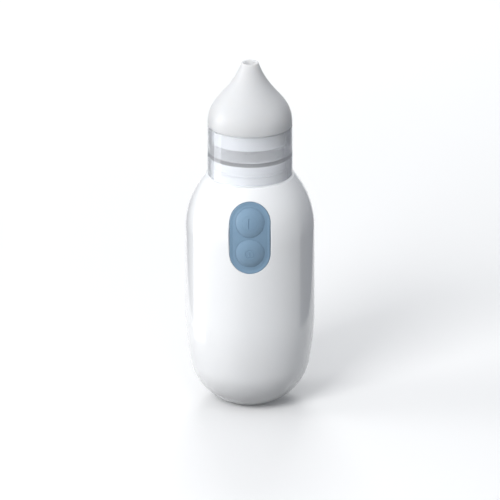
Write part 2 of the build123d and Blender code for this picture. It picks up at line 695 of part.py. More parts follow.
def wobble_plate():
    """The three-armed plate that works the diaphragm, bored wide round the crank pin."""
    plate = rod(4.6, WOBBLE_Z0, WOBBLE_Z1)
    for turn in pump_turns():
        plate += turn * block(0, CUP_PITCH_R, -2.0, 2.0, WOBBLE_Z0, WOBBLE_Z1)
        plate += turn * rod(2.0, WOBBLE_Z0, WOBBLE_Z1, CUP_PITCH_R, 0)
    return on_pump_axis(plate - rod(CRANK_OFFSET + CRANK_PIN_R + 0.3, WOBBLE_Z0 - 1, WOBBLE_Z1 + 1))


def diaphragm():
    sheet = rod(PUMP_R, FRAME_Z1, DIAPHRAGM_Z1)
    for turn in pump_turns():
        sheet += turn * rod(DIAPHRAGM_CUP_R, WOBBLE_Z1, FRAME_Z1, CUP_PITCH_R, 0)
        sheet -= turn * rod(DIAPHRAGM_CUP_R - 0.7, WOBBLE_Z1 + 0.8, DIAPHRAGM_Z1 + 1, CUP_PITCH_R, 0)
    for x, y in pump_screw_spots():
        sheet -= rod(PUMP_SCREW_R + 0.1, WOBBLE_Z1, DIAPHRAGM_Z1 + 1, x, y)
    return on_pump_axis(sheet)


def valve_plate():
    plate = rod(PUMP_R, DIAPHRAGM_Z1, VALVE_Z1)
    for turn in pump_turns():
        for radius in (5.4, 8.0):
            plate -= turn * rod(0.7, DIAPHRAGM_Z1 - 1, VALVE_Z1 + 1, radius, 0)
    for x, y in pump_screw_spots():
        plate -= rod(PUMP_SCREW_R + 0.1, DIAPHRAGM_Z1 - 1, VALVE_Z1 + 1, x, y)
    return on_pump_axis(plate)


def valve_flaps():
    """Three inlet flaps and the outlet's disc, lying on the valve plate."""
    top = VALVE_Z1 + 0.4
    inlets = [on_pump_axis(turn * rod(1.5, VALVE_Z1, top, 8.0, 0)) for turn in pump_turns()]
    return Compound([*inlets, on_pump_axis(rod(2.9, VALVE_Z1, top))])


def pump_cover():
    """The pump's lid: a ring-shaped inlet chamber round the outlet chamber, each with its barb."""
    lid = rod(PUMP_R, VALVE_Z1, PUMP_TOP_Z) - ring(10.0, 4.8, VALVE_Z1 - 1, CHAMBER_TOP_Z)
    lid -= rod(3.6, VALVE_Z1 - 1, CHAMBER_TOP_Z)
    for x, y in pump_screw_spots():
        lid -= rod(PUMP_SCREW_R + 0.1, VALVE_Z1 - 1, PUMP_TOP_Z + 1, x, y)
    lid = on_pump_axis(lid)
    for x, y in (INLET_AT, OUTLET_AT):
        lid += rod(BARB_R, PUMP_TOP_Z - 0.5, BARB_TOP_Z, x, y)
        lid -= rod(BARB_BORE_R, CHAMBER_TOP_Z - 1.5, BARB_TOP_Z + 1, x, y)
    return lid


def pump_screws():
    one = screw(12.0, PUMP_SCREW_R, 1.3, 1.0)
    return Compound([on_pump_axis(Pos(x, y, PUMP_TOP_Z) * one) for x, y in pump_screw_spots()])


# ---- air path ----

def suction_tube():
    x, y = INLET_AT
    points = [(x, y, PUMP_TOP_Z + 0.3), (x, y, 76), (0, 0, 85), (0, 0, 97)]
    return tube_along(points, [7, 7], TUBE_OD_R, TUBE_ID_R)


def exhaust_tube():
    x, y = OUTLET_AT
    points = [(x, y, PUMP_TOP_Z + 0.3), (x, y, 75.5), (6, 0.5, 88), (6, 10.0, 88)]
    return tube_along(points, [7, 6], TUBE_OD_R - 0.2, TUBE_ID_R)


def muffler_box():
    """The open-backed box against the exhaust slots, with its barb."""
    x, z = MUFFLER_PORT
    inner_x = MUFFLER_X - MUFFLER_WALL
    z0, z1 = MUFFLER_Z0 + MUFFLER_WALL, MUFFLER_Z1 - MUFFLER_WALL
    box = block(-MUFFLER_X, MUFFLER_X, MUFFLER_Y0, MUFFLER_Y1, MUFFLER_Z0, MUFFLER_Z1)
    box -= block(-inner_x, inner_x, MUFFLER_Y0 + MUFFLER_WALL, BACK_Y, z0, z1)
    box += rod_y(BARB_R, MUFFLER_Y0 - 5.5, MUFFLER_Y0 + 0.5, x, z)
    return box - rod_y(BARB_BORE_R, MUFFLER_Y0 - 6, MUFFLER_Y0 + 2, x, z)


def muffler_foam():
    half, z0, z1 = MUFFLER_X - MUFFLER_WALL, MUFFLER_Z0 + MUFFLER_WALL, MUFFLER_Z1 - MUFFLER_WALL
    return block(-half, half, MUFFLER_Y0 + 2, MUFFLER_Y1, z0, z1)


def neck_seat():
    """The white plug in the neck: a flange under the casing, the spigot for the cup and the suction port."""
    waist_r = NECK_HOLE_R - 0.2
    flange_top = NECK_Z - WALL - 0.1
    outside = turned([
        (0, SEAT_FLANGE_Z), (SEAT_FLANGE_R, SEAT_FLANGE_Z), (SEAT_FLANGE_R, flange_top),
        (waist_r, flange_top), (waist_r, NECK_Z + 0.05), (SPIGOT_R, NECK_Z + 0.05),
        (SPIGOT_R, SPIGOT_TOP_Z), (0, SPIGOT_TOP_Z),
    ])
    outside = fillet(outside.edges().filter_by(GeomType.CIRCLE).group_by(Axis.Z)[-1], 0.8)
    seat = outside - rod(SPIGOT_WALL_R, SEAT_BARB_Z, SPIGOT_TOP_Z - SPIGOT_ROOF)
    seat += rod(SEAT_HUB_R, SEAT_HUB_Z, SPIGOT_TOP_Z - 1) + rod(BARB_R, SEAT_BARB_Z, SEAT_HUB_Z + 1)
    seat -= rod(SOCKET_R, SOCKET_Z, SPIGOT_TOP_Z + 1) + rod(PORT_R - 0.4, SEAT_BARB_Z - 1, SPIGOT_TOP_Z)
    return seat - ring(SPIGOT_R + 1, SEAL_MAJOR_R - SEAL_MINOR_R, SEAL_Z - SEAL_GROOVE, SEAL_Z + SEAL_GROOVE)


def neck_seal():
    section = Plane.XZ * Pos(SEAL_MAJOR_R, SEAL_Z) * Circle(SEAL_MINOR_R)
    return revolve(section, Axis.Z)


def port_gasket():
    return ring(SOCKET_R - 0.05, PORT_R, SOCKET_Z, SOCKET_Z + 0.7)


# ---- collection cup and nose tip ----

def collection_cup():
    """The clear cup: outer wall and skirt, a floor with a suction chimney, and a stub into the port."""
    wall = turned([
        (CUP_SKIRT_R, CUP_Z0), (CUP_R0, CUP_Z0), (CUP_R0, CUP_TAPER_Z), (CUP_R1, CUP_Z1),
        (CUP_MOUTH_R, CUP_Z1), (CUP_MOUTH_R, CUP_LEDGE_Z), (CUP_BOWL_R, CUP_LEDGE_Z),
        (CUP_BOWL_R, CUP_FLOOR_Z1), (0, CUP_FLOOR_Z1), (0, CUP_FLOOR_Z0), (CUP_SKIRT_R, CUP_FLOOR_Z0),
    ])
    chimney = rod(CHIMNEY_R, STUB_Z, CHIMNEY_TOP_Z)
    return wall + chimney - rod(CHIMNEY_BORE_R, STUB_Z - 1, CHIMNEY_TOP_Z + 1)


def splash_cap():
    """A cap on the chimney that lets air in at its sides and keeps drops out."""
    cap = ring(CAP_R, CHIMNEY_R, CAP_Z0, CAP_ROOF_Z)
    half = CAP_WINDOW_W / 2
    for k in range(3):
        cap -= Rot(0, 0, 120 * k) * block(0, 6, -half, half, CHIMNEY_TOP_Z + 0.1, CAP_ROOF_Z)
    dome = Pos(0, 0, CAP_ROOF_Z + CAP_DOME_H - CAP_DOME_R) * Sphere(CAP_DOME_R)
    return cap + (dome & block(-9, 9, -9, 9, CAP_ROOF_Z, CAP_ROOF_Z + 3))


def nose_tip():
    """The silicone tip: a plug inside the cup's mouth, a lip on its rim and an S-shaped funnel."""
    skin = revolved(
        Line((0, TIP_LIP_Z), (CUP_R1, TIP_LIP_Z)),
        Line((CUP_R1, TIP_LIP_Z), (CUP_R1, TIP_SHOULDER_Z)),
        Bezier((CUP_R1, TIP_SHOULDER_Z), (CUP_R1, 140.1), (9.1, 140.6), (TIP_RIM_R, TIP_TOP_Z)),
        Line((TIP_RIM_R, TIP_TOP_Z), (0, TIP_TOP_Z)),
        Line((0, TIP_TOP_Z), (0, TIP_LIP_Z)),
    )
    skin += rod(TIP_PLUG_R, TIP_PLUG_Z, TIP_LIP_Z + 0.5)
    hollow = revolved(
        Line((0, TIP_PLUG_Z), (TIP_PLUG_BORE_R, TIP_PLUG_Z)),
        Line((TIP_PLUG_BORE_R, TIP_PLUG_Z), (TIP_FUNNEL_R, TIP_WALL_Z)),
        Bezier((TIP_FUNNEL_R, TIP_WALL_Z), (TIP_FUNNEL_R, 137.8), (7.4, 139.9), (TIP_BORE_R, TIP_BORE_Z)),
        Line((TIP_BORE_R, TIP_BORE_Z), (0, TIP_BORE_Z)),
        Line((0, TIP_BORE_Z), (0, TIP_PLUG_Z)),
    )
    return skin - hollow - rod(TIP_BORE_R, TIP_BORE_Z - 1, TIP_TOP_Z + 1)


# ---- wiring inside the handle ----

def motor_lead(side):
    points = [
        (5.9, PUMP_Y, 13.2), (12.0, -11.5, 14.5), (16.5, -12.6, 22.0),
        (16.5, -12.6, 61.5), (9.0, -12.6, 65.0), (6.0, -12.6, 69.0),
    ]
    lead = tube_along(points, [2.5, 2.5, 3.0, 2.0], LEAD_R)
    return lead if side > 0 else mirror(lead, Plane.YZ)


def battery_lead(side):
    points = [(8.0, 8.5, 75.8), (8.0, 4.0, 76.5), (11.0, -4.0, 74.0), (9.5, -12.6, 72.5)]
    lead = tube_along(points, [1.5, 3.0], LEAD_R)
    return lead if side > 0 else mirror(lead, Plane.YZ)


def parts():
    return {
        "front_casing": front_casing(), "rear_casing": rear_casing(), "battery_cover": battery_cover(),
        "foot_pad": foot_pad(), "key_panel": key_panel(), "high_key": key(HIGH_KEY_Z),
        "low_key": key(LOW_KEY_Z), "high_switch_plunger": switch_plunger(HIGH_KEY_Z),
        "low_switch_plunger": switch_plunger(LOW_KEY_Z), "switch_bodies": switch_bodies(),
        "circuit_board": circuit_board(), "board_components": board_components(),
        "board_screws": board_screws(), "chassis": chassis(), "left_cell": cell(-CELL_X, True),
        "right_cell": cell(CELL_X, False), "contact_bridge": contact_bridge(),
        "positive_contact": top_contact(-1), "negative_contact": top_contact(1),
        "contact_springs": contact_springs(), "rear_screws": rear_screws(),
        "chassis_screws": chassis_screws(), "motor_can": motor_can(), "motor_end_cap": motor_end_cap(),
        "motor_bushes": motor_bushes(), "motor_magnets": motor_magnets(),
        "motor_brushes": motor_brushes(), "motor_terminals": motor_terminals(),
        "motor_shaft": motor_shaft(), "rotor_core": rotor_core(), "rotor_windings": rotor_windings(),
        "commutator": commutator(), "motor_sleeve": motor_sleeve(), "motor_clamp": motor_clamp(),
        "clamp_screws": clamp_screws(), "crank_hub": crank_hub(), "crank_pin": crank_pin(),
        "pump_frame": pump_frame(), "wobble_plate": wobble_plate(), "diaphragm": diaphragm(),
        "valve_plate": valve_plate(), "valve_flaps": valve_flaps(), "pump_cover": pump_cover(),
        "pump_screws": pump_screws(), "suction_tube": suction_tube(), "exhaust_tube": exhaust_tube(),
        "muffler_box": muffler_box(), "muffler_foam": muffler_foam(), "neck_seat": neck_seat(),
        "neck_seal": neck_seal(), "port_gasket": port_gasket(), "collection_cup": collection_cup(),
        "splash_cap": splash_cap(), "nose_tip": nose_tip(), "left_motor_lead": motor_lead(-1),
        "right_motor_lead": motor_lead(1), "left_battery_lead": battery_lead(-1),
        "right_battery_lead": battery_lead(1),
    }


os.makedirs("parts", exist_ok=True)
for name, shape in parts().items():
    export_step(shape, f"parts/{name}.step")
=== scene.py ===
"""Looks of the nasal aspirator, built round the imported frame.

Shapes are worked out in millimetres and turned into metres when a mesh is made.
"""

import json
import math

import bmesh
import bpy
import numpy as np
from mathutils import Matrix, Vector


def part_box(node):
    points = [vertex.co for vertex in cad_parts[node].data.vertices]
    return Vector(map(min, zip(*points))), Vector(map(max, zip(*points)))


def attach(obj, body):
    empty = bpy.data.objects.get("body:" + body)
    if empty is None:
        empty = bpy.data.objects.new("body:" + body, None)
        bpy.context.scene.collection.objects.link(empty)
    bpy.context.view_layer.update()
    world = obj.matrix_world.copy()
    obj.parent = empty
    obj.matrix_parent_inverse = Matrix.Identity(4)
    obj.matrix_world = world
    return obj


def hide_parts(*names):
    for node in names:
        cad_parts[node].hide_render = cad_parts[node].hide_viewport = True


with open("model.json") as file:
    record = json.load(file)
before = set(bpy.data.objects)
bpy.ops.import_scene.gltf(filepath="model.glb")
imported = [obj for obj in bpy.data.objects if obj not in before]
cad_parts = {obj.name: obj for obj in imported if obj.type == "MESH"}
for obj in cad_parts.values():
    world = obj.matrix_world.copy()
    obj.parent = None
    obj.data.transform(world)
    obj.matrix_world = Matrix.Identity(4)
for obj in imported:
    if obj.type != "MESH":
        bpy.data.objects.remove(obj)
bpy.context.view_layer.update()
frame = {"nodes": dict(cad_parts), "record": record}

scene = bpy.context.scene
scene.view_settings.view_transform = "Standard"

MM = 0.001
SEGMENTS = 192
FILLET_STEPS = 6


def cad(node):
    """Lowest and highest corner of a CAD node, in millimetres."""
    low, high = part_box(node)
    return np.array(low) / MM, np.array(high) / MM


# ---- dimensions read from the frame, in millimetres ----

casing_low, casing_high = cad("front_casing")
cup_low, cup_high = cad("collection_cup")
tip_low, tip_high = cad("nose_tip")
seat_low, seat_high = cad("neck_seat")
foot_low, foot_high = cad("foot_pad")
panel_low, panel_high = cad("key_panel")
cover_low, cover_high = cad("battery_cover")

BODY_R = casing_high[0]
BASE_Z = casing_low[2]
NECK_Z = casing_high[2]
NECK_R = 19.4
WALL = 2.2
FLOOR_Z = 3.6
SEAM_Y = casing_high[1] + 0.125
SEAM_GAP = 0.25
NECK_HOLE_R = 15.4

PANEL_Z = (panel_low[2] + panel_high[2]) / 2
PANEL_HALF_H = (panel_high[2] - panel_low[2]) / 2 - 1.0
PANEL_HALF_W = (panel_high[0] - panel_low[0]) / 2 - 1.0
PANEL_RECESS = 0.35
PANEL_BORDER = 1.5
PANEL_BACK = WALL + 1.0
KEY_GAP = 0.05
KEY_PROUD = 1.0
KEY_BACK_Y = -20.6

WINDOW_HALF_W = cover_high[0] + 0.2
WINDOW_HALF_H = (cover_high[2] - cover_low[2]) / 2 + 0.2
WINDOW_Z = (cover_high[2] + cover_low[2]) / 2
WINDOW_CORNER = 3.0
COVER_GAP = 0.2
LEDGE_WIDTH = 1.4
LEDGE_THICK = 1.3
RIBS_Z = (28.0, 45.0, 62.0)
VENTS_X = (-6, -3, 0, 3, 6)
VENT_Z = 88.5

CUP_RIM_R = 18.5
CUP_FLOOR_LOW, CUP_FLOOR_HIGH = 113.3, 114.7
CHIMNEY_R = 3.2
CHIMNEY_TOP = 120.0

# Tolerances and reaches in millimetres, angles in degrees
ON_FORM = 0.02
SHARP_ANGLE = 35
EDGE_TURN = 78
CUTTER_REACH = 9.0
FAR = 60


def carry_on(centre, r, next_r, angle):
    """The centre of an arc of radius next_r that carries on from another one at an angle, in degrees."""
    a = math.radians(angle)
    return (centre[0] + (r - next_r) * math.cos(a), centre[1] + (r - next_r) * math.sin(a))


# The casing's outline is tangent arcs: bottom, flank, a straight part, shoulder and crown
BOTTOM_ARC, FLANK_ARC, SHOULDER_ARC, CROWN_ARC = 24.0, 130.0, 37.5, 49.0
FLANK_START, CROWN_START, CROWN_END = -10.7, 31.0, 60.0
FLANK_Z, SHOULDER_Z = 42.6, 80.0
FLANK = (BODY_R - FLANK_ARC, FLANK_Z)
SHOULDER = (BODY_R - SHOULDER_ARC, SHOULDER_Z)

# Each arc as the (radius, height) of its centre, its own radius, and the angles where it starts and ends
ARCS = [
    (carry_on(FLANK, FLANK_ARC, BOTTOM_ARC, FLANK_START), BOTTOM_ARC, -90.0, FLANK_START),
    (FLANK, FLANK_ARC, FLANK_START, 0.0),
    (SHOULDER, SHOULDER_ARC, 0.0, CROWN_START),
    (carry_on(SHOULDER, SHOULDER_ARC, CROWN_ARC, CROWN_START), CROWN_ARC, CROWN_START, CROWN_END),
]


# ---- mesh helpers ----

def mesh_object(name, vertices, faces):
    """A closed mesh from points in millimetres, with its faces turned outwards."""
    mesh = bpy.data.meshes.new(name)
    mesh.from_pydata([tuple(np.asarray(v) * MM) for v in vertices], [], faces)
    shaped = bmesh.new()
    shaped.from_mesh(mesh)
    bmesh.ops.recalc_face_normals(shaped, faces=shaped.faces)
    shaped.to_mesh(mesh)
    shaped.free()
    piece = bpy.data.objects.new(name, mesh)
    scene.collection.objects.link(piece)
    return piece


def join_rings(rings):
    """Vertices and faces of a skin through rings of equal length, closed by a fan at each end."""
    count = len(rings[0])
    vertices = [point for ring in rings for point in ring]
    faces = []
    for k in range(len(rings) - 1):
        for i in range(count):
            j = (i + 1) % count
            faces.append((k * count + i, k * count + j, (k + 1) * count + j, (k + 1) * count + i))
    for first, ring in ((0, rings[0]), ((len(rings) - 1) * count, rings[-1])):
        vertices.append(tuple(np.mean(ring, axis=0)))
        centre = len(vertices) - 1
        faces += [(first + i, first + (i + 1) % count, centre) for i in range(count)]
    return vertices, faces


def lathe(name, profile, closed=False, x=0.0, y=0.0, segments=None):
    """A solid turned about a vertical axis from (radius, height) points; an open profile ends on the axis."""
    segments = segments or SEGMENTS
    turn = [2 * math.pi * i / segments for i in range(segments)]
    vertices, rings, faces = [], [], []
    for r, z in profile:
        if r < 1e-6:
            rings.append([len(vertices)] * segments)
            vertices.append((x, y, z))
        else:
            rings.append(list(range(len(vertices), len(vertices) + segments)))
            vertices += [(x + r * math.cos(a), y + r * math.sin(a), z) for a in turn]
    pairs = list(zip(rings, rings[1:]))
    if closed:
        pairs.append((rings[-1], rings[0]))
    for low, high in pairs:
        for i in range(segments):
            j = (i + 1) % segments
            face = list(dict.fromkeys((low[i], low[j], high[j], high[i])))
            if len(face) > 2:
                faces.append(face)
    return mesh_object(name, vertices, faces)


def rounded(points, closed=False):
    """A (radius, height) outline whose third number, where given, rounds that corner."""
    made = []
    count = len(points)
    for i, point in enumerate(points):
        here = Vector(point[:2])
        fillet = point[2] if len(point) > 2 else 0.0
        if not fillet or (not closed and i in (0, count - 1)):
            made.append(tuple(here))
            continue
        before = (Vector(points[i - 1][:2]) - here).normalized()
        after = (Vector(points[(i + 1) % count][:2]) - here).normalized()
        half = before.angle(after) / 2
        reach = fillet / math.tan(half)
        centre = here + (before + after).normalized() * (fillet / math.sin(half))
        start = here + before * reach - centre
        sweep = start.angle_signed(here + after * reach - centre)
        for k in range(FILLET_STEPS + 1):
            angle = -sweep * k / FILLET_STEPS
            turned = Vector((
                start.x * math.cos(angle) - start.y * math.sin(angle),
                start.x * math.sin(angle) + start.y * math.cos(angle),
            ))
            made.append(tuple(centre + turned))
    return made


def bezier(p0, p1, p2, p3, steps):
    """Points along a cubic curve."""
    made = []
    for t in np.linspace(0, 1, steps + 1):
        s = 1 - t
        weights = (s**3, 3 * s * s * t, 3 * s * t * t, t**3)
        made.append(tuple(sum(w * np.array(p) for w, p in zip(weights, (p0, p1, p2, p3)))))
    return made


def box(name, low, high):
    corners = [(x, y, z) for z in (low[2], high[2]) for y in (low[1], high[1]) for x in (low[0], high[0])]
    faces = [(0, 1, 3, 2), (4, 5, 7, 6), (0, 1, 5, 4), (2, 3, 7, 6), (0, 2, 6, 4), (1, 3, 7, 5)]
    return mesh_object(name, corners, faces)


def combine(base, tool, operation):
    """base with tool added, taken away or shared, as a plain mesh."""
    step = base.modifiers.new("combine", "BOOLEAN")
    step.object = tool
    step.operation = operation
    step.solver = "MANIFOLD"
    made = bpy.data.meshes.new_from_object(base.evaluated_get(bpy.context.evaluated_depsgraph_get()))
    base.modifiers.remove(step)
    base.data = made
    bpy.data.objects.remove(tool)
    return base


def copy_of(piece, name):
    twin = piece.copy()
    twin.data = piece.data.copy()
    twin.name = name
    scene.collection.objects.link(twin)
    return twin


# ---- shapes that follow the casing ----

def arc_at(z, depth):
    """Centre and radius of the outline's arc at height z, depth under the surface; None on the straight."""
    if FLANK_Z <= z <= SHOULDER_Z:
        return None
    for centre, r, _, end in ARCS:
        if z <= centre[1] + (r - depth) * math.sin(math.radians(end)):
            break
    return centre, r - depth


def casing_r(z, depth):
    """The casing's radius at height z, depth under its surface."""
    found = arc_at(z, depth)
    if not found:
        return BODY_R - depth
    (centre_r, centre_z), r = found
    return centre_r + math.sqrt(r * r - (z - centre_z) ** 2)


def outline_points(depth, low, high):
    """The casing's outline, depth under its surface, from one height up to another."""
    points = []
    for (centre_r, centre_z), r, start, end in ARCS:
        inner = r - depth
        first = max(start, surface_angle(low, centre_z, inner))
        last = min(end, surface_angle(high, centre_z, inner))
        if last - first < 0.01:
            continue
        steps = max(3, math.ceil((last - first) / math.degrees(math.sqrt(0.03 / inner))))
        for a in np.radians(np.linspace(first, last, steps + 1)):
            point = (centre_r + inner * math.cos(a), centre_z + inner * math.sin(a))
            if not points or math.dist(point, points[-1]) > 0.001:
                points.append(point)
    return points


def surface_angle(z, centre, r):
    """The angle on an arc at height z, in degrees, held to the arc's top and bottom."""
    return math.degrees(math.asin(min(max((z - centre) / r, -1.0), 1.0)))


def on_casing(x, z, depth, side):
    """The point at (x, z), depth under the casing's surface, on the front (side -1) or the back (side 1)."""
    return (x, side * math.sqrt(casing_r(z, depth) ** 2 - x * x), z)


def normal_at(x, z, depth_of):
    """The outward direction on the front where the depth changes from place to place."""
    step = 0.02
    places = ((x + step, z), (x - step, z), (x, z + step), (x, z - step))
    right, left, up, down = (Vector(on_casing(px, pz, depth_of(px, pz), -1)) for px, pz in places)
    return (right - left).cross(up - down).normalized()


def stadium(half_w, half_h, z0, steps=28):
    """Points and outward directions round an upright slot."""
    straight = half_h - half_w
    made = []
    for sign, start in ((1, 0.0), (-1, math.pi)):
        for k in range(steps + 1):
            a = start + math.pi * k / steps
            nx, nz = math.cos(a), math.sin(a)
            made.append((half_w * nx, z0 + sign * straight + half_w * nz, nx, nz))
    return made


def round_box(half_w, half_h, corner, z0, steps=10):
    """Points and outward directions round an upright box with round corners."""
    made = []
    for quarter, (sx, sz) in enumerate(((1, 1), (-1, 1), (-1, -1), (1, -1))):
        for k in range(steps + 1):
            a = math.pi / 2 * (quarter + k / steps)
            x = sx * (half_w - corner) + corner * math.cos(a)
            z = z0 + sz * (half_h - corner) + corner * math.sin(a)
            made.append((x, z, math.cos(a), math.sin(a)))
    return made


def disc(r, z0, steps=96):
    """Points and outward directions round a circle."""
    turn = [2 * math.pi * k / steps for k in range(steps)]
    return [(r * math.cos(a), z0 + r * math.sin(a), math.cos(a), math.sin(a)) for a in turn]


def edge_steps(grow, radius, top, deep, flare):
    """(grow, depth) steps up a wall with a rounded edge at depth top: flare 1 opens out and -1 closes in."""
    last = math.radians(EDGE_TURN)
    steps = [(grow, deep)]
    for t in np.linspace(0, last, FILLET_STEPS + 1):
        steps.append((grow + flare * radius * (1 - math.cos(t)), top + radius * (1 - math.sin(t))))
    reach = 0.8 * radius
    steps.append((steps[-1][0] + flare * reach * math.sin(last), steps[-1][1] - reach * math.cos(last)))
    steps.append((steps[-1][0], top - CUTTER_REACH))
    return steps


def prism(name, outline, steps, side):
    """A solid along Y whose outline grows and lies at the casing's depths as the steps say."""
    rings = []
    for grow, depth in steps:
        rings.append([on_casing(x + nx * grow, z + nz * grow, depth, side) for x, z, nx, nz in outline])
    return mesh_object(name, *join_rings(rings))


def curved_block(name, half_w, z0, z1, top, bottom, side, pitch=0.6):
    """A block whose front and back follow the casing at two depths; top may change from place to place."""
    depth_of = top if callable(top) else lambda x, z: top
    across = np.linspace(-half_w, half_w, max(8, round(2 * half_w / pitch)) + 1)
    up = np.linspace(z0, z1, max(8, round((z1 - z0) / pitch)) + 1)
    columns, rows = len(across), len(up)
    vertices = [on_casing(x, z, depth_of(x, z), side) for z in up for x in across]
    vertices += [on_casing(x, z, bottom, side) for z in up for x in across]
    faces = []
    sheet = columns * rows
    for k in range(rows - 1):
        for i in range(columns - 1):
            a = k * columns + i
            quad = (a, a + 1, a + columns + 1, a + columns)
            faces.append(quad)
            faces.append(tuple(v + sheet for v in quad))
    rim = list(range(columns))
    rim += [k * columns + columns - 1 for k in range(1, rows)]
    rim += [(rows - 1) * columns + i for i in range(columns - 2, -1, -1)]
    rim += [k * columns for k in range(rows - 2, 0, -1)]
    for a, b in zip(rim, rim[1:] + rim[:1]):
        faces.append((a, b, b + sheet, a + sheet))
    return mesh_object(name, vertices, faces)


def outline_directions(points, depths):
    """The exact outward direction at points on the casing's form at one of these depths; zero at others."""
    r, z = np.hypot(points[:, 0], points[:, 1]), points[:, 2]
    straight = (z > FLANK_Z) & (z < SHOULDER_Z)
    out, up = np.zeros(len(points)), np.zeros(len(points))
    for depth in depths:
        out[straight & (abs(r - BODY_R + depth) < ON_FORM)] = 1.0
        for (centre_r, centre_z), arc_r, start, end in ARCS:
            away = np.hypot(r - centre_r, z - centre_z)
            angle = np.degrees(np.arctan2(z - centre_z, r - centre_r))
            on = (abs(away - arc_r + depth) < ON_FORM) & (angle > start - 0.05) & (angle < end + 0.05)
            out[on] = ((r - centre_r) / away)[on]
            up[on] = ((z - centre_z) / away)[on]
    around = points[:, :2] / np.maximum(r, 1e-9)[:, None]
    return np.column_stack((around * out[:, None], up))


def follow_casing(piece, depths, depth_of=None):
    """Smooth shading, with exact directions on the faces on the casing's form at one of these depths."""
    mesh = piece.data
    mesh.shade_smooth()
    mesh.set_sharp_from_angle(angle=math.radians(SHARP_ANGLE))
    normals = np.empty(len(mesh.loops) * 3)
    mesh.corner_normals.foreach_get("vector", normals)
    normals = normals.reshape(-1, 3)
    corner_vertex = np.empty(len(mesh.loops), dtype=int)
    mesh.loops.foreach_get("vertex_index", corner_vertex)
    points = np.empty(len(mesh.vertices) * 3)
    mesh.vertices.foreach_get("co", points)
    points = points.reshape(-1, 3)[corner_vertex] / MM
    face_normals = np.empty(len(mesh.polygons) * 3)
    mesh.polygons.foreach_get("normal", face_normals)
    sizes = np.empty(len(mesh.polygons), dtype=int)
    mesh.polygons.foreach_get("loop_total", sizes)
    face_normals = np.repeat(face_normals.reshape(-1, 3), sizes, axis=0)
    radial = outline_directions(points, depths)
    facing = (radial * face_normals).sum(axis=1)
    exact = abs(facing) > 0.97
    normals[exact] = radial[exact] * np.sign(facing[exact])[:, None]
    if depth_of:
        for i in np.flatnonzero(face_normals[:, 1] < -0.7):
            x, y, z = points[i]
            if abs(y - on_casing(x, z, depth_of(x, z), -1)[1]) < ON_FORM:
                found = normal_at(x, z, depth_of)
                if np.dot(found, face_normals[i]) > 0.94:
                    normals[i] = found
    mesh.normals_split_custom_set(normals.tolist())


def smooth(piece, angle=SHARP_ANGLE):
    """Smooth shading that keeps corners sharp and flat faces flat."""
    piece.data.shade_smooth()
    piece.data.set_sharp_from_angle(angle=math.radians(angle))
    weighted = piece.modifiers.new("weighted_normals", "WEIGHTED_NORMAL")
    weighted.keep_sharp = True


# ---- materials ----

def principled(name, **sockets):
    """A material and its shader, with fixed values on the sockets named, spaces written as _."""
    material = bpy.data.materials.new(name)
    material.use_nodes = True
    shader = material.node_tree.nodes["Principled BSDF"]
    for socket, value in sockets.items():
        shader.inputs[socket.replace("_", " ")].default_value = value
    return material, shader


def object_noise(material, scale, detail=3.0, stretch=None):
    """A noise texture in the piece's own coordinates, scale in features per metre."""
    tree = material.node_tree
    where = tree.nodes.new("ShaderNodeTexCoord")
    noise = tree.nodes.new("ShaderNodeTexNoise")
    noise.inputs["Scale"].default_value = scale
    noise.inputs["Detail"].default_value = detail
    source = where.outputs["Object"]
    if stretch:
        mapping = tree.nodes.new("ShaderNodeMapping")
        mapping.inputs["Scale"].default_value = stretch
        tree.links.new(source, mapping.inputs["Vector"])
        source = mapping.outputs["Vector"]
    tree.links.new(source, noise.inputs["Vector"])
    return noise.outputs["Fac"]


def vary(material, shader, socket, source, low, high):
    """Drives a number socket from a 0-1 source between two values."""
    span = material.node_tree.nodes.new("ShaderNodeMapRange")
    span.inputs["From Min"].default_value = 0.3
    span.inputs["From Max"].default_value = 0.7
    span.inputs["To Min"].default_value = low
    span.inputs["To Max"].default_value = high
    material.node_tree.links.new(source, span.inputs["Value"])
    material.node_tree.links.new(span.outputs["Result"], shader.inputs[socket])


def tint(material, shader, source, first, second):
    """Drives the base colour between two colours from a 0-1 source."""
    ramp = material.node_tree.nodes.new("ShaderNodeValToRGB")
    ramp.color_ramp.elements[0].position = 0.35
    ramp.color_ramp.elements[1].position = 0.65
    ramp.color_ramp.elements[0].color = (*first, 1)
    ramp.color_ramp.elements[1].color = (*second, 1)
    material.node_tree.links.new(source, ramp.inputs["Fac"])
    material.node_tree.links.new(ramp.outputs["Color"], shader.inputs["Base Color"])


def emboss(material, shader, source, depth):
    """Fine relief from a 0-1 source, depth in metres."""
    bump = material.node_tree.nodes.new("ShaderNodeBump")
    bump.inputs["Distance"].default_value = depth
    bump.inputs["Strength"].default_value = 1.0
    material.node_tree.links.new(source, bump.inputs["Height"])
    material.node_tree.links.new(bump.outputs["Normal"], shader.inputs["Normal"])


def moulded(name, first, second, rough, grain, depth, mottle=60, **sockets):
    """Moulded plastic or rubber: slight mottling, uneven gloss and a fine surface grain."""
    material, shader = principled(name, **sockets)
    cloud = object_noise(material, mottle)
    tint(material, shader, cloud, first, second)
    vary(material, shader, "Roughness", cloud, *rough)
    emboss(material, shader, object_noise(material, grain, 4.0), depth)
    return material


def metal(name, first, second, rough, stretch=(1, 1, 1), depth=0.00001, grain=1500):
    """Bare metal whose colour, gloss and relief follow one fine grain."""
    material, shader = principled(name, Metallic=1.0)
    streaks = object_noise(material, grain, 4.0, stretch)
    tint(material, shader, streaks, first, second)
    vary(material, shader, "Roughness", streaks, *rough)
    emboss(material, shader, streaks, depth)
    return material


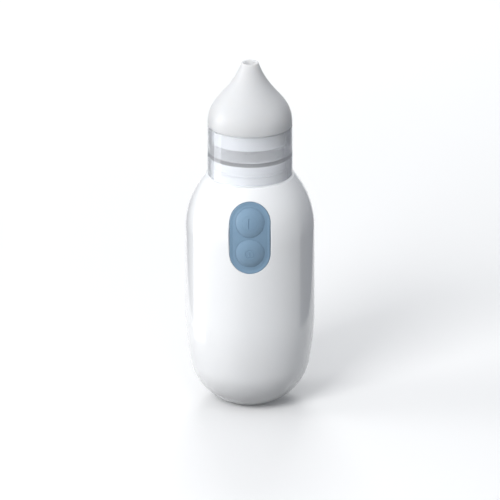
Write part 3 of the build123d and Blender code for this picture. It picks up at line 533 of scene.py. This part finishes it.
def lamp_through(material, shader):
    """Lets lamp light pass, as clear plastic does, so that what is inside stays lit."""
    tree = material.node_tree
    path = tree.nodes.new("ShaderNodeLightPath")
    open_way = tree.nodes.new("ShaderNodeBsdfTransparent")
    open_way.inputs["Color"].default_value = (0.66, 0.67, 0.69, 1)
    mix = tree.nodes.new("ShaderNodeMixShader")
    tree.links.new(path.outputs["Is Shadow Ray"], mix.inputs["Fac"])
    tree.links.new(shader.outputs["BSDF"], mix.inputs[1])
    tree.links.new(open_way.outputs["BSDF"], mix.inputs[2])
    tree.links.new(mix.outputs["Shader"], tree.nodes["Material Output"].inputs["Surface"])


def clear_plastic():
    """Clear but slightly hazed plastic with faint moulding waves."""
    material, shader = principled(
        "clear_cup", Base_Color=(0.865, 0.875, 0.89, 1), Transmission_Weight=0.75, IOR=1.4,
    )
    waves = object_noise(material, 90, 2.0)
    vary(material, shader, "Roughness", waves, 0.015, 0.04)
    emboss(material, shader, waves, 0.00002)
    lamp_through(material, shader)
    return material


def silicone(name, first, second, scatter, rough):
    """Milky rubber that light enters a little way."""
    material, shader = principled(
        name, Subsurface_Weight=0.85, Subsurface_Radius=(1.0, 0.95, 0.9), Subsurface_Scale=scatter, IOR=1.41,
    )
    cloud = object_noise(material, 70)
    tint(material, shader, cloud, first, second)
    vary(material, shader, "Roughness", cloud, *rough)
    emboss(material, shader, object_noise(material, 900, 3.0), 0.000012)
    return material


def cell_jacket():
    """A plain two-tone printed sleeve, dark at each cell's positive end, with a soft metallic sheen."""
    material, shader = principled("cell_jacket", Metallic=0.55, Coat_Weight=0.6, Coat_Roughness=0.12)
    tree = material.node_tree
    where = tree.nodes.new("ShaderNodeTexCoord")
    split = tree.nodes.new("ShaderNodeSeparateXYZ")
    ramp = tree.nodes.new("ShaderNodeValToRGB")
    span = tree.nodes.new("ShaderNodeMapRange")
    span.inputs["From Min"].default_value = -0.027
    span.inputs["From Max"].default_value = 0.027
    side, height, along = (tree.nodes.new("ShaderNodeMath") for _ in range(3))
    side.operation, height.operation, along.operation = "SIGN", "SUBTRACT", "MULTIPLY"
    height.inputs[1].default_value = 0.045
    ramp.color_ramp.interpolation = "CONSTANT"
    ramp.color_ramp.elements[0].color = (0.03, 0.05, 0.08, 1)
    ramp.color_ramp.elements[1].position = 0.3
    ramp.color_ramp.elements[1].color = (0.42, 0.46, 0.5, 1)
    tree.links.new(where.outputs["Object"], split.inputs["Vector"])
    tree.links.new(split.outputs["X"], side.inputs[0])
    tree.links.new(split.outputs["Z"], height.inputs[0])
    tree.links.new(side.outputs["Value"], along.inputs[0])
    tree.links.new(height.outputs["Value"], along.inputs[1])
    tree.links.new(along.outputs["Value"], span.inputs["Value"])
    tree.links.new(span.outputs["Result"], ramp.inputs["Fac"])
    tree.links.new(ramp.outputs["Color"], shader.inputs["Base Color"])
    vary(material, shader, "Roughness", object_noise(material, 300), 0.28, 0.36)
    emboss(material, shader, object_noise(material, 1500, 2.0), 0.000002)
    return material


MATERIALS = {
    "white_shell": moulded(
        "white_shell", (0.895, 0.905, 0.92), (0.905, 0.912, 0.922), (0.16, 0.24), 2200, 0.000003,
        Coat_Weight=0.8, Coat_Roughness=0.03, Coat_IOR=1.5,
    ),
    "white_plug": moulded(
        "white_plug", (0.80, 0.81, 0.825), (0.82, 0.83, 0.84), (0.3, 0.42), 1800, 0.00001,
    ),
    "grey_rubber": moulded(
        "grey_rubber", (0.32, 0.33, 0.34), (0.36, 0.37, 0.38), (0.7, 0.85), 3000, 0.00006,
    ),
    "blue_panel": moulded(
        "blue_panel", (0.19, 0.30, 0.42), (0.205, 0.32, 0.44), (0.42, 0.52), 5200, 0.00003,
        Sheen_Weight=0.08,
    ),
    "blue_key": moulded(
        "blue_key", (0.195, 0.305, 0.425), (0.21, 0.325, 0.445), (0.36, 0.46), 5600, 0.000025,
        Sheen_Weight=0.1,
    ),
    "black_plastic": moulded(
        "black_plastic", (0.02, 0.02, 0.022), (0.03, 0.03, 0.032), (0.35, 0.5), 3500, 0.00004,
    ),
    "inner_plastic": moulded(
        "inner_plastic", (0.62, 0.63, 0.65), (0.67, 0.68, 0.69), (0.42, 0.55), 2600, 0.00004,
    ),
    "board_green": moulded(
        "board_green", (0.01, 0.10, 0.045), (0.015, 0.13, 0.06), (0.25, 0.4), 1500, 0.00003,
        Coat_Weight=0.5,
    ),
    "steel": metal("steel", (0.50, 0.51, 0.53), (0.62, 0.63, 0.65), (0.25, 0.42), (1, 1, 6)),
    "spring_steel": metal("spring_steel", (0.6, 0.6, 0.6), (0.72, 0.72, 0.71), (0.18, 0.3)),
    "cell_jacket": cell_jacket(),
    "bronze": metal("bronze", (0.45, 0.26, 0.11), (0.56, 0.34, 0.16), (0.4, 0.55)),
    "copper": metal(
        "copper", (0.62, 0.26, 0.12), (0.75, 0.34, 0.16), (0.28, 0.42), (1, 1, 14), 0.00008, 900,
    ),
    "magnet": moulded("magnet", (0.06, 0.06, 0.065), (0.09, 0.09, 0.095), (0.55, 0.7), 2500, 0.00006),
    "rotor_iron": metal(
        "rotor_iron", (0.24, 0.24, 0.25), (0.34, 0.34, 0.35), (0.4, 0.55), (1, 1, 30), 0.00006, 300,
    ),
    "black_rubber": moulded(
        "black_rubber", (0.018, 0.018, 0.019), (0.028, 0.028, 0.03), (0.6, 0.75), 2600, 0.00005,
    ),
    "tube_silicone": silicone("tube_silicone", (0.66, 0.67, 0.68), (0.7, 0.71, 0.72), 0.003, (0.3, 0.4)),
    "seal_silicone": silicone("seal_silicone", (0.80, 0.81, 0.825), (0.82, 0.83, 0.84), 0.001, (0.3, 0.4)),
    "foam": moulded(
        "foam", (0.04, 0.04, 0.045), (0.09, 0.09, 0.1), (0.9, 1.0), 1400, 0.0004, mottle=900,
    ),
    "clear_cup": clear_plastic(),
    "tip_silicone": silicone("tip_silicone", (0.68, 0.685, 0.695), (0.70, 0.705, 0.713), 0.003, (0.3, 0.4)),
    "lead_red": moulded("lead_red", (0.38, 0.02, 0.015), (0.45, 0.03, 0.02), (0.35, 0.5), 2000, 0.00002),
    "lead_black": moulded(
        "lead_black", (0.015, 0.015, 0.016), (0.025, 0.025, 0.027), (0.35, 0.5), 2000, 0.00002,
    ),
}
SLOT_OF = {part["node"]: part["material_slot"] for part in frame["record"]["subparts"]}
BODY_OF = {node: body for body, nodes in frame["record"]["behaviour"]["bodies"].items() for node in nodes}


def stand_for(piece, node, *more, slot=None):
    """The finished piece takes its CAD node's body, material and place."""
    name = slot or SLOT_OF[node]
    piece.data.materials.clear()
    piece.data.materials.append(MATERIALS[name])
    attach(piece, BODY_OF[node])
    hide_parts(node, *more)


# ---- casing ----

def casing_solid():
    """The whole hollow casing, turned: outside from the foot up to the neck, then the inside back down."""
    outside = outline_points(0, BASE_Z, NECK_Z - 0.35)
    inside = outline_points(WALL, FLOOR_Z, NECK_Z - WALL)
    pocket_r, pocket_z = foot_high[0] + 0.1, foot_high[2]
    rim = rounded([
        outside[-1], (NECK_R, NECK_Z, 0.4), (NECK_HOLE_R, NECK_Z, 0.4), (NECK_HOLE_R, NECK_Z - WALL),
    ])
    foot = rounded([(0, pocket_z), (pocket_r, pocket_z), (pocket_r, BASE_Z, 0.25), outside[0]])
    return lathe("casing", foot + outside[1:] + rim[1:] + inside[::-1] + [(0, FLOOR_Z)])


def slab(name, y0, y1):
    """A block that holds everything of the casing between two depths along Y."""
    reach = BODY_R + 10
    return box(name, (-reach, y0, -reach), (reach, y1, NECK_Z + 10))


def tongue(name, extra=0.0):
    """The lip inside the rear casing that enters the front one."""
    low, high = FLOOR_Z + 2, NECK_Z - WALL - 3
    outside = outline_points(WALL / 2 - extra, low, high)
    inside = outline_points(WALL + 0.3, low, high)
    ring = lathe(name, outside + inside[::-1], closed=True)
    return combine(ring, slab("slab", SEAM_Y - 1.5 - extra, SEAM_Y + 0.6), "INTERSECT")


def seam_groove(name):
    """A fine V round the parting line, which breaks both edges."""
    right = []
    for r, z in outline_points(0, -1.0, NECK_Z + 10):
        found = arc_at(z, 0)
        out, up = ((r - found[0][0]) / found[1], (z - found[0][1]) / found[1]) if found else (1.0, 0.0)
        x = math.sqrt(r * r - SEAM_Y**2)
        right.append(((x, SEAM_Y, z), (out * x / r, out * SEAM_Y / r, up)))
    flip = np.array((-1, 1, 1))
    left = [(flip * at, flip * direction) for at, direction in right[::-1]]
    section = ((0.35, 0.12), (0, -0.28), (-0.35, 0.12), (0, 0.5))
    sections = []
    for at, direction in right + left:
        at, direction = np.array(at), np.array(direction)
        sections.append([tuple(at + direction * n + np.array((0, b, 0))) for b, n in section])
    count = len(sections)
    vertices = [v for ring in sections for v in ring]
    faces = []
    for k in range(count):
        after = (k + 1) % count
        for i in range(4):
            j = (i + 1) % 4
            faces.append((k * 4 + i, k * 4 + j, after * 4 + j, after * 4 + i))
    return mesh_object(name, vertices, faces)


def make_casings():
    whole = casing_solid()
    whole = combine(whole, seam_groove("groove"), "DIFFERENCE")
    back = copy_of(whole, "rear_shell")
    front = combine(whole, slab("slab", -FAR, SEAM_Y - SEAM_GAP / 2), "INTERSECT")
    front.name = "front_shell"
    front = combine(front, tongue("rebate", 0.05), "DIFFERENCE")
    slot = stadium(PANEL_HALF_W, PANEL_HALF_H, PANEL_Z)
    front = combine(front, prism("opening", slot, edge_steps(0, 0.3, 0, 6.0, 1), -1), "DIFFERENCE")
    follow_casing(front, (0, WALL))
    stand_for(front, "front_casing")

    back = combine(back, slab("slab", SEAM_Y + SEAM_GAP / 2, FAR), "INTERSECT")
    back = combine(back, tongue("tongue"), "UNION")
    window = round_box(WINDOW_HALF_W, WINDOW_HALF_H, WINDOW_CORNER, WINDOW_Z)
    back = combine(back, prism("window", window, edge_steps(0, 0.3, 0, 7.0, 1), 1), "DIFFERENCE")
    half_w = WINDOW_HALF_W + LEDGE_WIDTH
    low, high = WINDOW_Z - WINDOW_HALF_H - LEDGE_WIDTH, WINDOW_Z + WINDOW_HALF_H + LEDGE_WIDTH
    ledge = curved_block("ledge", half_w, low, high, WALL - 0.01, WALL + LEDGE_THICK, 1)
    bay = round_box(
        WINDOW_HALF_W - LEDGE_WIDTH, WINDOW_HALF_H - LEDGE_WIDTH, WINDOW_CORNER - 1, WINDOW_Z
    )
    ledge = combine(ledge, prism("bay", bay, edge_steps(0, 0.3, WALL, 8.0, 1), 1), "DIFFERENCE")
    back = combine(back, ledge, "UNION")
    for side in (-1, 1):
        x0, x1 = sorted((side * 9.2, side * 14.8))
        back = combine(back, box("plate", (x0, 16.6, 74.4), (x1, 18.4, 83.5)), "UNION")
        back = combine(back, box("arm", (x0, 18.3, 81.0), (x1, 22.0, 83.5)), "UNION")
    for x in VENTS_X:
        shifted = [(px + x, z, nx, nz) for px, z, nx, nz in stadium(0.6, 4.0, VENT_Z, 12)]
        back = combine(back, prism("vent", shifted, edge_steps(0, 0.25, 0, 6.0, 1), 1), "DIFFERENCE")
    follow_casing(back, (0, WALL, WALL + LEDGE_THICK))
    stand_for(back, "rear_casing")


def thumb_dimple(name):
    """The hollow for the thumb, as a cutter: a ball with grip ribs pressed into it."""
    centre_y, centre_z, r = BODY_R + 12.8, 70.0, 14.0
    rings = []
    for polar in np.linspace(1, 60, 110):
        ring = []
        for i in range(96):
            a, b = math.radians(polar), 2 * math.pi * i / 96
            x, z = r * math.sin(a) * math.cos(b), r * math.sin(a) * math.sin(b)
            wave = max(0.0, math.cos(2 * math.pi * z / 2.0))
            inside = 1 / (1 + math.exp((math.hypot(x, z * 0.9) - 3.9) * 6))
            scale = (r - 0.4 * wave * inside) / r
            ring.append((x * scale, centre_y - r * math.cos(a) * scale, centre_z + z * scale))
        rings.append(ring)
    return mesh_object(name, *join_rings(rings))


def make_cover():
    low, high = WINDOW_Z - WINDOW_HALF_H - 1, WINDOW_Z + WINDOW_HALF_H + 1
    skin = curved_block("battery_door", WINDOW_HALF_W + 1, low, high, 0.0, WALL - 0.15, 1, 0.8)
    outline = round_box(WINDOW_HALF_W, WINDOW_HALF_H, WINDOW_CORNER, WINDOW_Z)
    edge = prism("edge", outline, edge_steps(-COVER_GAP, 0.3, 0, 8.0, -1), 1)
    skin = combine(skin, edge, "INTERSECT")
    skin = combine(skin, thumb_dimple("dimple"), "DIFFERENCE")
    for z in RIBS_Z:
        skin = combine(skin, curved_block("rib", 14.5, z, z + 1, WALL - 0.2, WALL + 1.0, 1), "UNION")
    follow_casing(skin, (0, WALL - 0.15))
    stand_for(skin, "battery_cover")


# ---- key panel and keys ----

def panel_depth(x, z):
    """How far the panel's face lies under the casing's form: level with it at the edge and dished inside."""
    straight = PANEL_HALF_H - PANEL_HALF_W
    inside = PANEL_HALF_W - math.hypot(x, max(abs(z - PANEL_Z) - straight, 0.0))
    return PANEL_RECESS * soft_step(inside, PANEL_BORDER / 2 + 0.15, PANEL_BORDER)


def make_panel():
    outline = stadium(PANEL_HALF_W, PANEL_HALF_H, PANEL_Z, 48)
    z0, z1 = PANEL_Z - PANEL_HALF_H - 0.5, PANEL_Z + PANEL_HALF_H + 0.5
    panel = curved_block("key_bezel", PANEL_HALF_W + 0.5, z0, z1, panel_depth, PANEL_BACK, -1, 0.25)
    panel = combine(panel, prism("edge", outline, edge_steps(-0.1, 0.2, 0, 7.0, -1), -1), "INTERSECT")
    for node in ("high_key", "low_key"):
        r, z = key_size(node)
        hole = prism("hole", disc(r + KEY_GAP, z), edge_steps(0, 0.06, PANEL_RECESS, 6.5, 1), -1)
        panel = combine(panel, hole, "DIFFERENCE")
    follow_casing(panel, (PANEL_BACK,), panel_depth)
    stand_for(panel, "key_panel")


def key_size(node):
    """A key's radius and the height of its axis."""
    low, high = cad(node)
    return (high[2] - low[2]) / 2, (high[2] + low[2]) / 2


def soft_step(value, edge, width):
    """0 below an edge and 1 above it, with a smooth ramp."""
    t = min(max((value - edge) / width + 0.5, 0.0), 1.0)
    return t * t * (3 - 2 * t)


def band(distance, half_width, soft=0.12):
    """1 within half_width of a line and 0 outside it."""
    return 1 - soft_step(abs(distance), half_width, soft)


def bar_distance(x, z, length):
    """Distance from an upright bar's centre line."""
    return math.hypot(x, max(abs(z) - length / 2, 0.0))


def high_mark(x, z):
    """Depth of the upper key's mark: a tall bar inside a faint ring."""
    ring = 0.07 * band(math.hypot(x, z) - 3.3, 0.15)
    return max(ring, 0.3 * band(bar_distance(x + 0.4, z, 3.8), 0.27))


def low_mark(x, z):
    """Depth of the lower key's mark: a small ring with a short bar inside it."""
    ring = 0.2 * band(math.hypot(x, z) - 1.8, 0.17)
    return max(ring, 0.22 * band(bar_distance(x, z, 1.0), 0.22))


def make_key(node, name, mark):
    """A pillow-shaped round key with its mark pressed in."""
    r, z0 = key_size(node)
    fillet, crown = 0.15, PANEL_RECESS + KEY_PROUD
    steps = [(rho, 0.0) for rho in np.linspace(0.05, r - fillet, 100)]
    for t in np.linspace(0.3, math.pi / 2, 5):
        steps.append((r - fillet + fillet * math.sin(t), fillet * (1 - math.cos(t))))
    turn = np.linspace(0, 2 * math.pi, 160, endpoint=False)
    rings = []
    for rho, drop in steps:
        swell = crown * (1 - (min(rho, r - fillet) / r) ** 2.6)
        ring = []
        for a in turn:
            x, z = rho * math.cos(a), rho * math.sin(a)
            ring.append(on_casing(x, z0 + z, PANEL_RECESS - swell + drop + mark(x, z), -1))
        rings.append(ring)
    rings.append([(r * math.cos(a), KEY_BACK_Y, z0 + r * math.sin(a)) for a in turn])
    key = mesh_object(name, *join_rings(rings))
    smooth(key, 50)
    stand_for(key, node)


# ---- neck, cup and tip ----

def make_seat():
    """The white plug: flange, waist, grooved spigot with its port, and the barb below."""
    flange_r, spigot_r, top = seat_high[0], 16.9, seat_high[2]
    seal_low, seal_high = cad("neck_seal")
    groove_r = seal_low[0] * -1 - 1.5
    waist_r = NECK_HOLE_R - 0.2
    port_r, port_floor = 3.6, cad("port_gasket")[0][2]
    barb_r, bore_r = 1.58, 1.1
    low, boss_z, flange_z = seat_low[2], 98.0, 99.8
    boss_r, inner_r = 5.0, 12.8
    flange_top = NECK_Z - WALL - 0.1
    spigot_z = NECK_Z + 0.05
    groove_low, groove_high = seal_low[2] - 0.06, seal_high[2] + 0.06
    profile = rounded([
        (bore_r, low), (barb_r, low), (barb_r, boss_z), (boss_r, boss_z, 0.3), (boss_r, top - 2, 0.4),
        (inner_r, top - 2, 0.6), (inner_r, flange_z), (flange_r, flange_z), (flange_r, flange_top),
        (waist_r, flange_top), (waist_r, spigot_z), (spigot_r, spigot_z, 0.2), (spigot_r, groove_low, 0.05),
        (groove_r, groove_low, 0.2), (groove_r, groove_high, 0.2), (spigot_r, groove_high, 0.05),
        (spigot_r, top, 0.9), (port_r, top, 0.4), (port_r, port_floor, 0.2), (bore_r, port_floor),
    ], closed=True)
    seat = lathe("neck_plug", profile, closed=True)
    smooth(seat)
    stand_for(seat, "neck_seat")


def make_seal():
    low, high = cad("neck_seal")
    minor = (high[2] - low[2]) / 2
    major, z = high[0] - minor, (high[2] + low[2]) / 2
    turn = np.linspace(0, 2 * math.pi, 28, endpoint=False)
    section = [(major + minor * math.cos(a), z + minor * math.sin(a)) for a in turn]
    ring = lathe("seal_ring", section, closed=True)
    smooth(ring, 80)
    stand_for(ring, "neck_seal")


def make_gasket():
    low, high = cad("port_gasket")
    hole_r, outer_r = 1.5, high[0]
    profile = rounded([
        (hole_r, low[2], 0.15), (outer_r, low[2], 0.15), (outer_r, high[2], 0.25), (hole_r, high[2], 0.25),
    ], closed=True)
    gasket = lathe("gasket", profile, closed=True)
    smooth(gasket)
    stand_for(gasket, "port_gasket")


def make_cup():
    """The clear cup with its skirt, floor, chimney and stub, in one turned solid."""
    low, z0, z1 = cup_low[2], NECK_Z + 0.3, cup_high[2]
    skirt_r, bowl_r, mouth_r, foot_r, bore_r = 17.2, 16.2, 16.9, cup_high[0], 2.0
    taper_z, ledge = 114.0, 120.2
    profile = rounded([
        (bore_r, low, 0.3), (CHIMNEY_R, low, 0.3), (CHIMNEY_R, CUP_FLOOR_LOW, 0.4),
        (skirt_r, CUP_FLOOR_LOW, 0.2), (skirt_r, z0, 0.4), (foot_r, z0, 0.5), (foot_r, taper_z),
        (CUP_RIM_R, z1, 0.35), (mouth_r, z1, 0.3), (mouth_r, ledge, 0.15), (bowl_r, ledge, 0.3),
        (bowl_r, CUP_FLOOR_HIGH, 0.4), (CHIMNEY_R, CUP_FLOOR_HIGH, 0.8), (CHIMNEY_R, CHIMNEY_TOP, 0.3),
        (bore_r, CHIMNEY_TOP, 0.3),
    ], closed=True)
    cup = lathe("clear_bowl", profile, closed=True)
    smooth(cup)
    stand_for(cup, "collection_cup")


def make_splash_cap():
    """The cap on the chimney: a wall with three windows under a shallow dome."""
    low, high = cad("splash_cap")
    wall_r, roof, dome_r = 4.4, high[2] - 1.2, high[0]
    dome_height = high[2] - roof
    turn = np.linspace(0.25, math.pi / 2, 12)
    dome = [(dome_r * math.cos(t), roof + dome_height * math.sin(t)) for t in turn]
    profile = [(CHIMNEY_R, low[2]), (wall_r, low[2]), (wall_r, roof)] + dome[:-1]
    profile += [(0, high[2]), (0, roof), (CHIMNEY_R, roof)]
    cap = lathe("drop_cap", profile, closed=True, segments=96)
    for k in range(3):
        window = box("window", (0, -2.4, CHIMNEY_TOP + 0.1), (6, 2.4, roof))
        window.rotation_euler[2] = math.radians(120 * k)
        bpy.context.view_layer.update()
        cap = combine(cap, window, "DIFFERENCE")
    smooth(cap)
    stand_for(cap, "splash_cap")


def make_tip():
    """The silicone tip: plug, lip and S-shaped funnel, with a soft rim round the opening."""
    plug_z, top = tip_low[2], tip_high[2]
    lip_z, lip_r, shoulder_z = cup_high[2] + 0.15, CUP_RIM_R, 128.2
    plug_r, plug_bore_r, rim_r, bore_r, bore_z = 16.75, 14.9, 3.8, 3.0, top - 4.5
    lip = (rim_r - bore_r) / 2
    outside = bezier((lip_r, shoulder_z), (lip_r, 140.1), (9.1, 140.6), (rim_r, top - lip), 70)
    rim = [
        ((rim_r + bore_r) / 2 + lip * math.cos(t), top - lip + lip * math.sin(t))
        for t in np.linspace(0.1, math.pi - 0.1, 10)
    ]
    inner_r, wall_z = 16.3, 129.6
    inside = bezier((bore_r, bore_z), (7.4, 139.9), (inner_r, 137.8), (inner_r, wall_z), 50)
    lower = rounded([
        (inner_r, wall_z), (plug_bore_r, plug_z, 0.3), (plug_r, plug_z, 0.5), (plug_r, lip_z, 0.2),
        (lip_r, lip_z, 0.3), (lip_r, shoulder_z),
    ])
    tip = lathe("soft_tip", outside + rim + inside + lower[1:-1], closed=True)
    smooth(tip, 60)
    stand_for(tip, "nose_tip")


def make_foot():
    """The rubber pad, slightly hollow underneath."""
    r, low, high = foot_high[0], foot_low[2], foot_high[2]
    hollow_r, hollow = 7.0, 0.3
    profile = rounded([
        (0, hollow), (hollow_r, hollow, 0.1), (hollow_r, low, 0.1), (r, low, 0.4), (r, high), (0, high),
    ])
    foot = lathe("foot", profile)
    smooth(foot)
    stand_for(foot, "foot_pad")


# ---- cells ----

def make_cell(node, name, up):
    """An AA cell: printed sleeve crimped over bare metal ends, with its nub."""
    low, high = cad(node)
    x, y, r = (low[0] + high[0]) / 2, (low[1] + high[1]) / 2, (high[0] - low[0]) / 2
    length = high[2] - low[2]
    crimp, cap, nub_r = length - 1.3, length - 1.6, 2.75
    points = [
        (0, 0.1), (r - 1.2, 0.1), (r - 1.0, 0.0, 0.1), (r, 0.0, 0.5), (r, crimp, 0.5), (r - 0.9, crimp, 0.1),
        (r - 1.2, cap), (nub_r + 0.15, cap), (nub_r, length, 0.3), (0, length),
    ]
    if up:
        profile = [(p[0], low[2] + p[1], *p[2:]) for p in points]
    else:
        profile = [(p[0], high[2] - p[1], *p[2:]) for p in points]
    cell = lathe(name, rounded(profile), x=x, y=y, segments=96)
    smooth(cell)
    stand_for(cell, node)
    cell.data.materials.append(MATERIALS["spring_steel"])
    axis = np.array((x, y)) * MM
    for face in cell.data.polygons:
        centre = np.array(face.center[:2]) - axis
        if np.hypot(*centre) < (r - 1.0) * MM:
            face.material_index = 1


def dress_cad_nodes():
    """Gives every CAD node that still shows its own material."""
    for node, part in frame["nodes"].items():
        part.data.materials.clear()
        part.data.materials.append(MATERIALS[SLOT_OF[node]])


# ---- studio ----

def floor_material():
    material, shader = principled("studio_floor", Roughness=0.55, Specular_IOR_Level=0.3)
    cloud = object_noise(material, 3)
    tint(material, shader, cloud, (0.885, 0.885, 0.887), (0.895, 0.895, 0.896))
    return material


def area_light(name, at, towards, size, power, **visible):
    """A lamp that the camera doesn't see; visible says which other rays don't either."""
    data = bpy.data.lights.new(name, "AREA")
    data.shape = "RECTANGLE"
    data.size, data.size_y = size
    data.energy = power
    lamp = bpy.data.objects.new(name, data)
    scene.collection.objects.link(lamp)
    lamp.location = at
    lamp.rotation_euler = (Vector(towards) - Vector(at)).to_track_quat("-Z", "Y").to_euler()
    lamp.visible_camera = False
    for key, value in visible.items():
        setattr(lamp, "visible_" + key, value)


def make_world(above, below):
    """Soft light from all round, with one strength above the horizon and one below it."""
    world = bpy.data.worlds.new("studio")
    world.use_nodes = True
    tree = world.node_tree
    direction = tree.nodes.new("ShaderNodeTexCoord")
    split = tree.nodes.new("ShaderNodeSeparateXYZ")
    span = tree.nodes.new("ShaderNodeMapRange")
    span.inputs["From Min"].default_value = -0.1
    span.inputs["From Max"].default_value = 0.1
    span.inputs["To Min"].default_value = below
    span.inputs["To Max"].default_value = above
    tree.nodes["Background"].inputs["Color"].default_value = (0.93, 0.96, 1.0, 1)
    tree.links.new(direction.outputs["Generated"], split.inputs["Vector"])
    tree.links.new(split.outputs["Z"], span.inputs["Value"])
    tree.links.new(span.outputs["Result"], tree.nodes["Background"].inputs["Strength"])
    scene.world = world


def side_card(name, x, colour, **visible):
    """A dark upright card beside and behind the object, seen only by rays from the glass or the gloss."""
    material = principled(name, Base_Color=colour, Roughness=0.9)[0]
    card = box(name, (x - 1, 0, 1), (x + 1, 240, 220))
    card.data.materials.append(material)
    card.visible_camera = card.visible_diffuse = card.visible_shadow = False
    for key, value in visible.items():
        setattr(card, "visible_" + key, value)


def make_studio():
    """Floor, world, side cards and lamps."""
    reach = 4000
    corners = [(-reach, -reach, 0), (reach, -reach, 0), (reach, reach, 0), (-reach, reach, 0)]
    floor = mesh_object("studio_floor", corners, [(0, 1, 2, 3)])
    floor.data.materials.append(floor_material())
    floor.visible_diffuse = False
    make_world(0.47, 0.15)
    for side, place in ((-1, "left"), (1, "right")):
        side_card("glass_card_" + place, side * 110, (0.1, 0.11, 0.14, 1), glossy=False)
        side_card("gloss_card_" + place, side * 114, (0.4, 0.41, 0.45, 1), transmission=False)
    middle = Vector((0, 0, 0.07))
    distance, width = 1.2, 0.5

    def softbox(name, azimuth, elevation, power, **visible):
        a, e = math.radians(azimuth), math.radians(elevation)
        away = Vector((-math.sin(a) * math.cos(e), -math.cos(a) * math.cos(e), math.sin(e)))
        area_light(name, middle + away * distance, middle, (width, width), power, **visible)

    softbox("front_left", 30, 35, 9.3, glossy=False)
    softbox("front_left_low", 30, 12, 0.65, glossy=False)
    softbox("front_top", 0, 60, 1.2, glossy=False)
    softbox("left_low", 90, 12, 5.1)
    softbox("back", 180, 35, 5.8, glossy=False)
    strip_at, strip_aim = (-0.078, -0.0005, 0.0725), (0, -0.0005, 0.0725)
    area_light("strip", strip_at, strip_aim, (0.037, 0.135), 0.035, diffuse=False, transmission=False)


def make_camera():
    elevation = math.radians(20)
    distance = 8.0
    aim = Vector((0, 0, 0.06877))
    field = 0.21875
    data = bpy.data.cameras.new("camera")
    data.sensor_width = 36
    data.lens = data.sensor_width * distance / field
    data.clip_end = 30
    camera = bpy.data.objects.new("camera", data)
    scene.collection.objects.link(camera)
    back = Vector((0, -math.cos(elevation), math.sin(elevation)))
    camera.location = aim + back * distance
    camera.rotation_euler = (-back).to_track_quat("-Z", "Y").to_euler()
    scene.camera = camera


make_camera()
make_studio()
dress_cad_nodes()
make_casings()
make_cover()
make_panel()
make_key("high_key", "key_high", high_mark)
make_key("low_key", "key_low", low_mark)
make_seat()
make_seal()
make_gasket()
make_cup()
make_splash_cap()
make_tip()
make_foot()
make_cell("left_cell", "cell_left_side", True)
make_cell("right_cell", "cell_right_side", False)
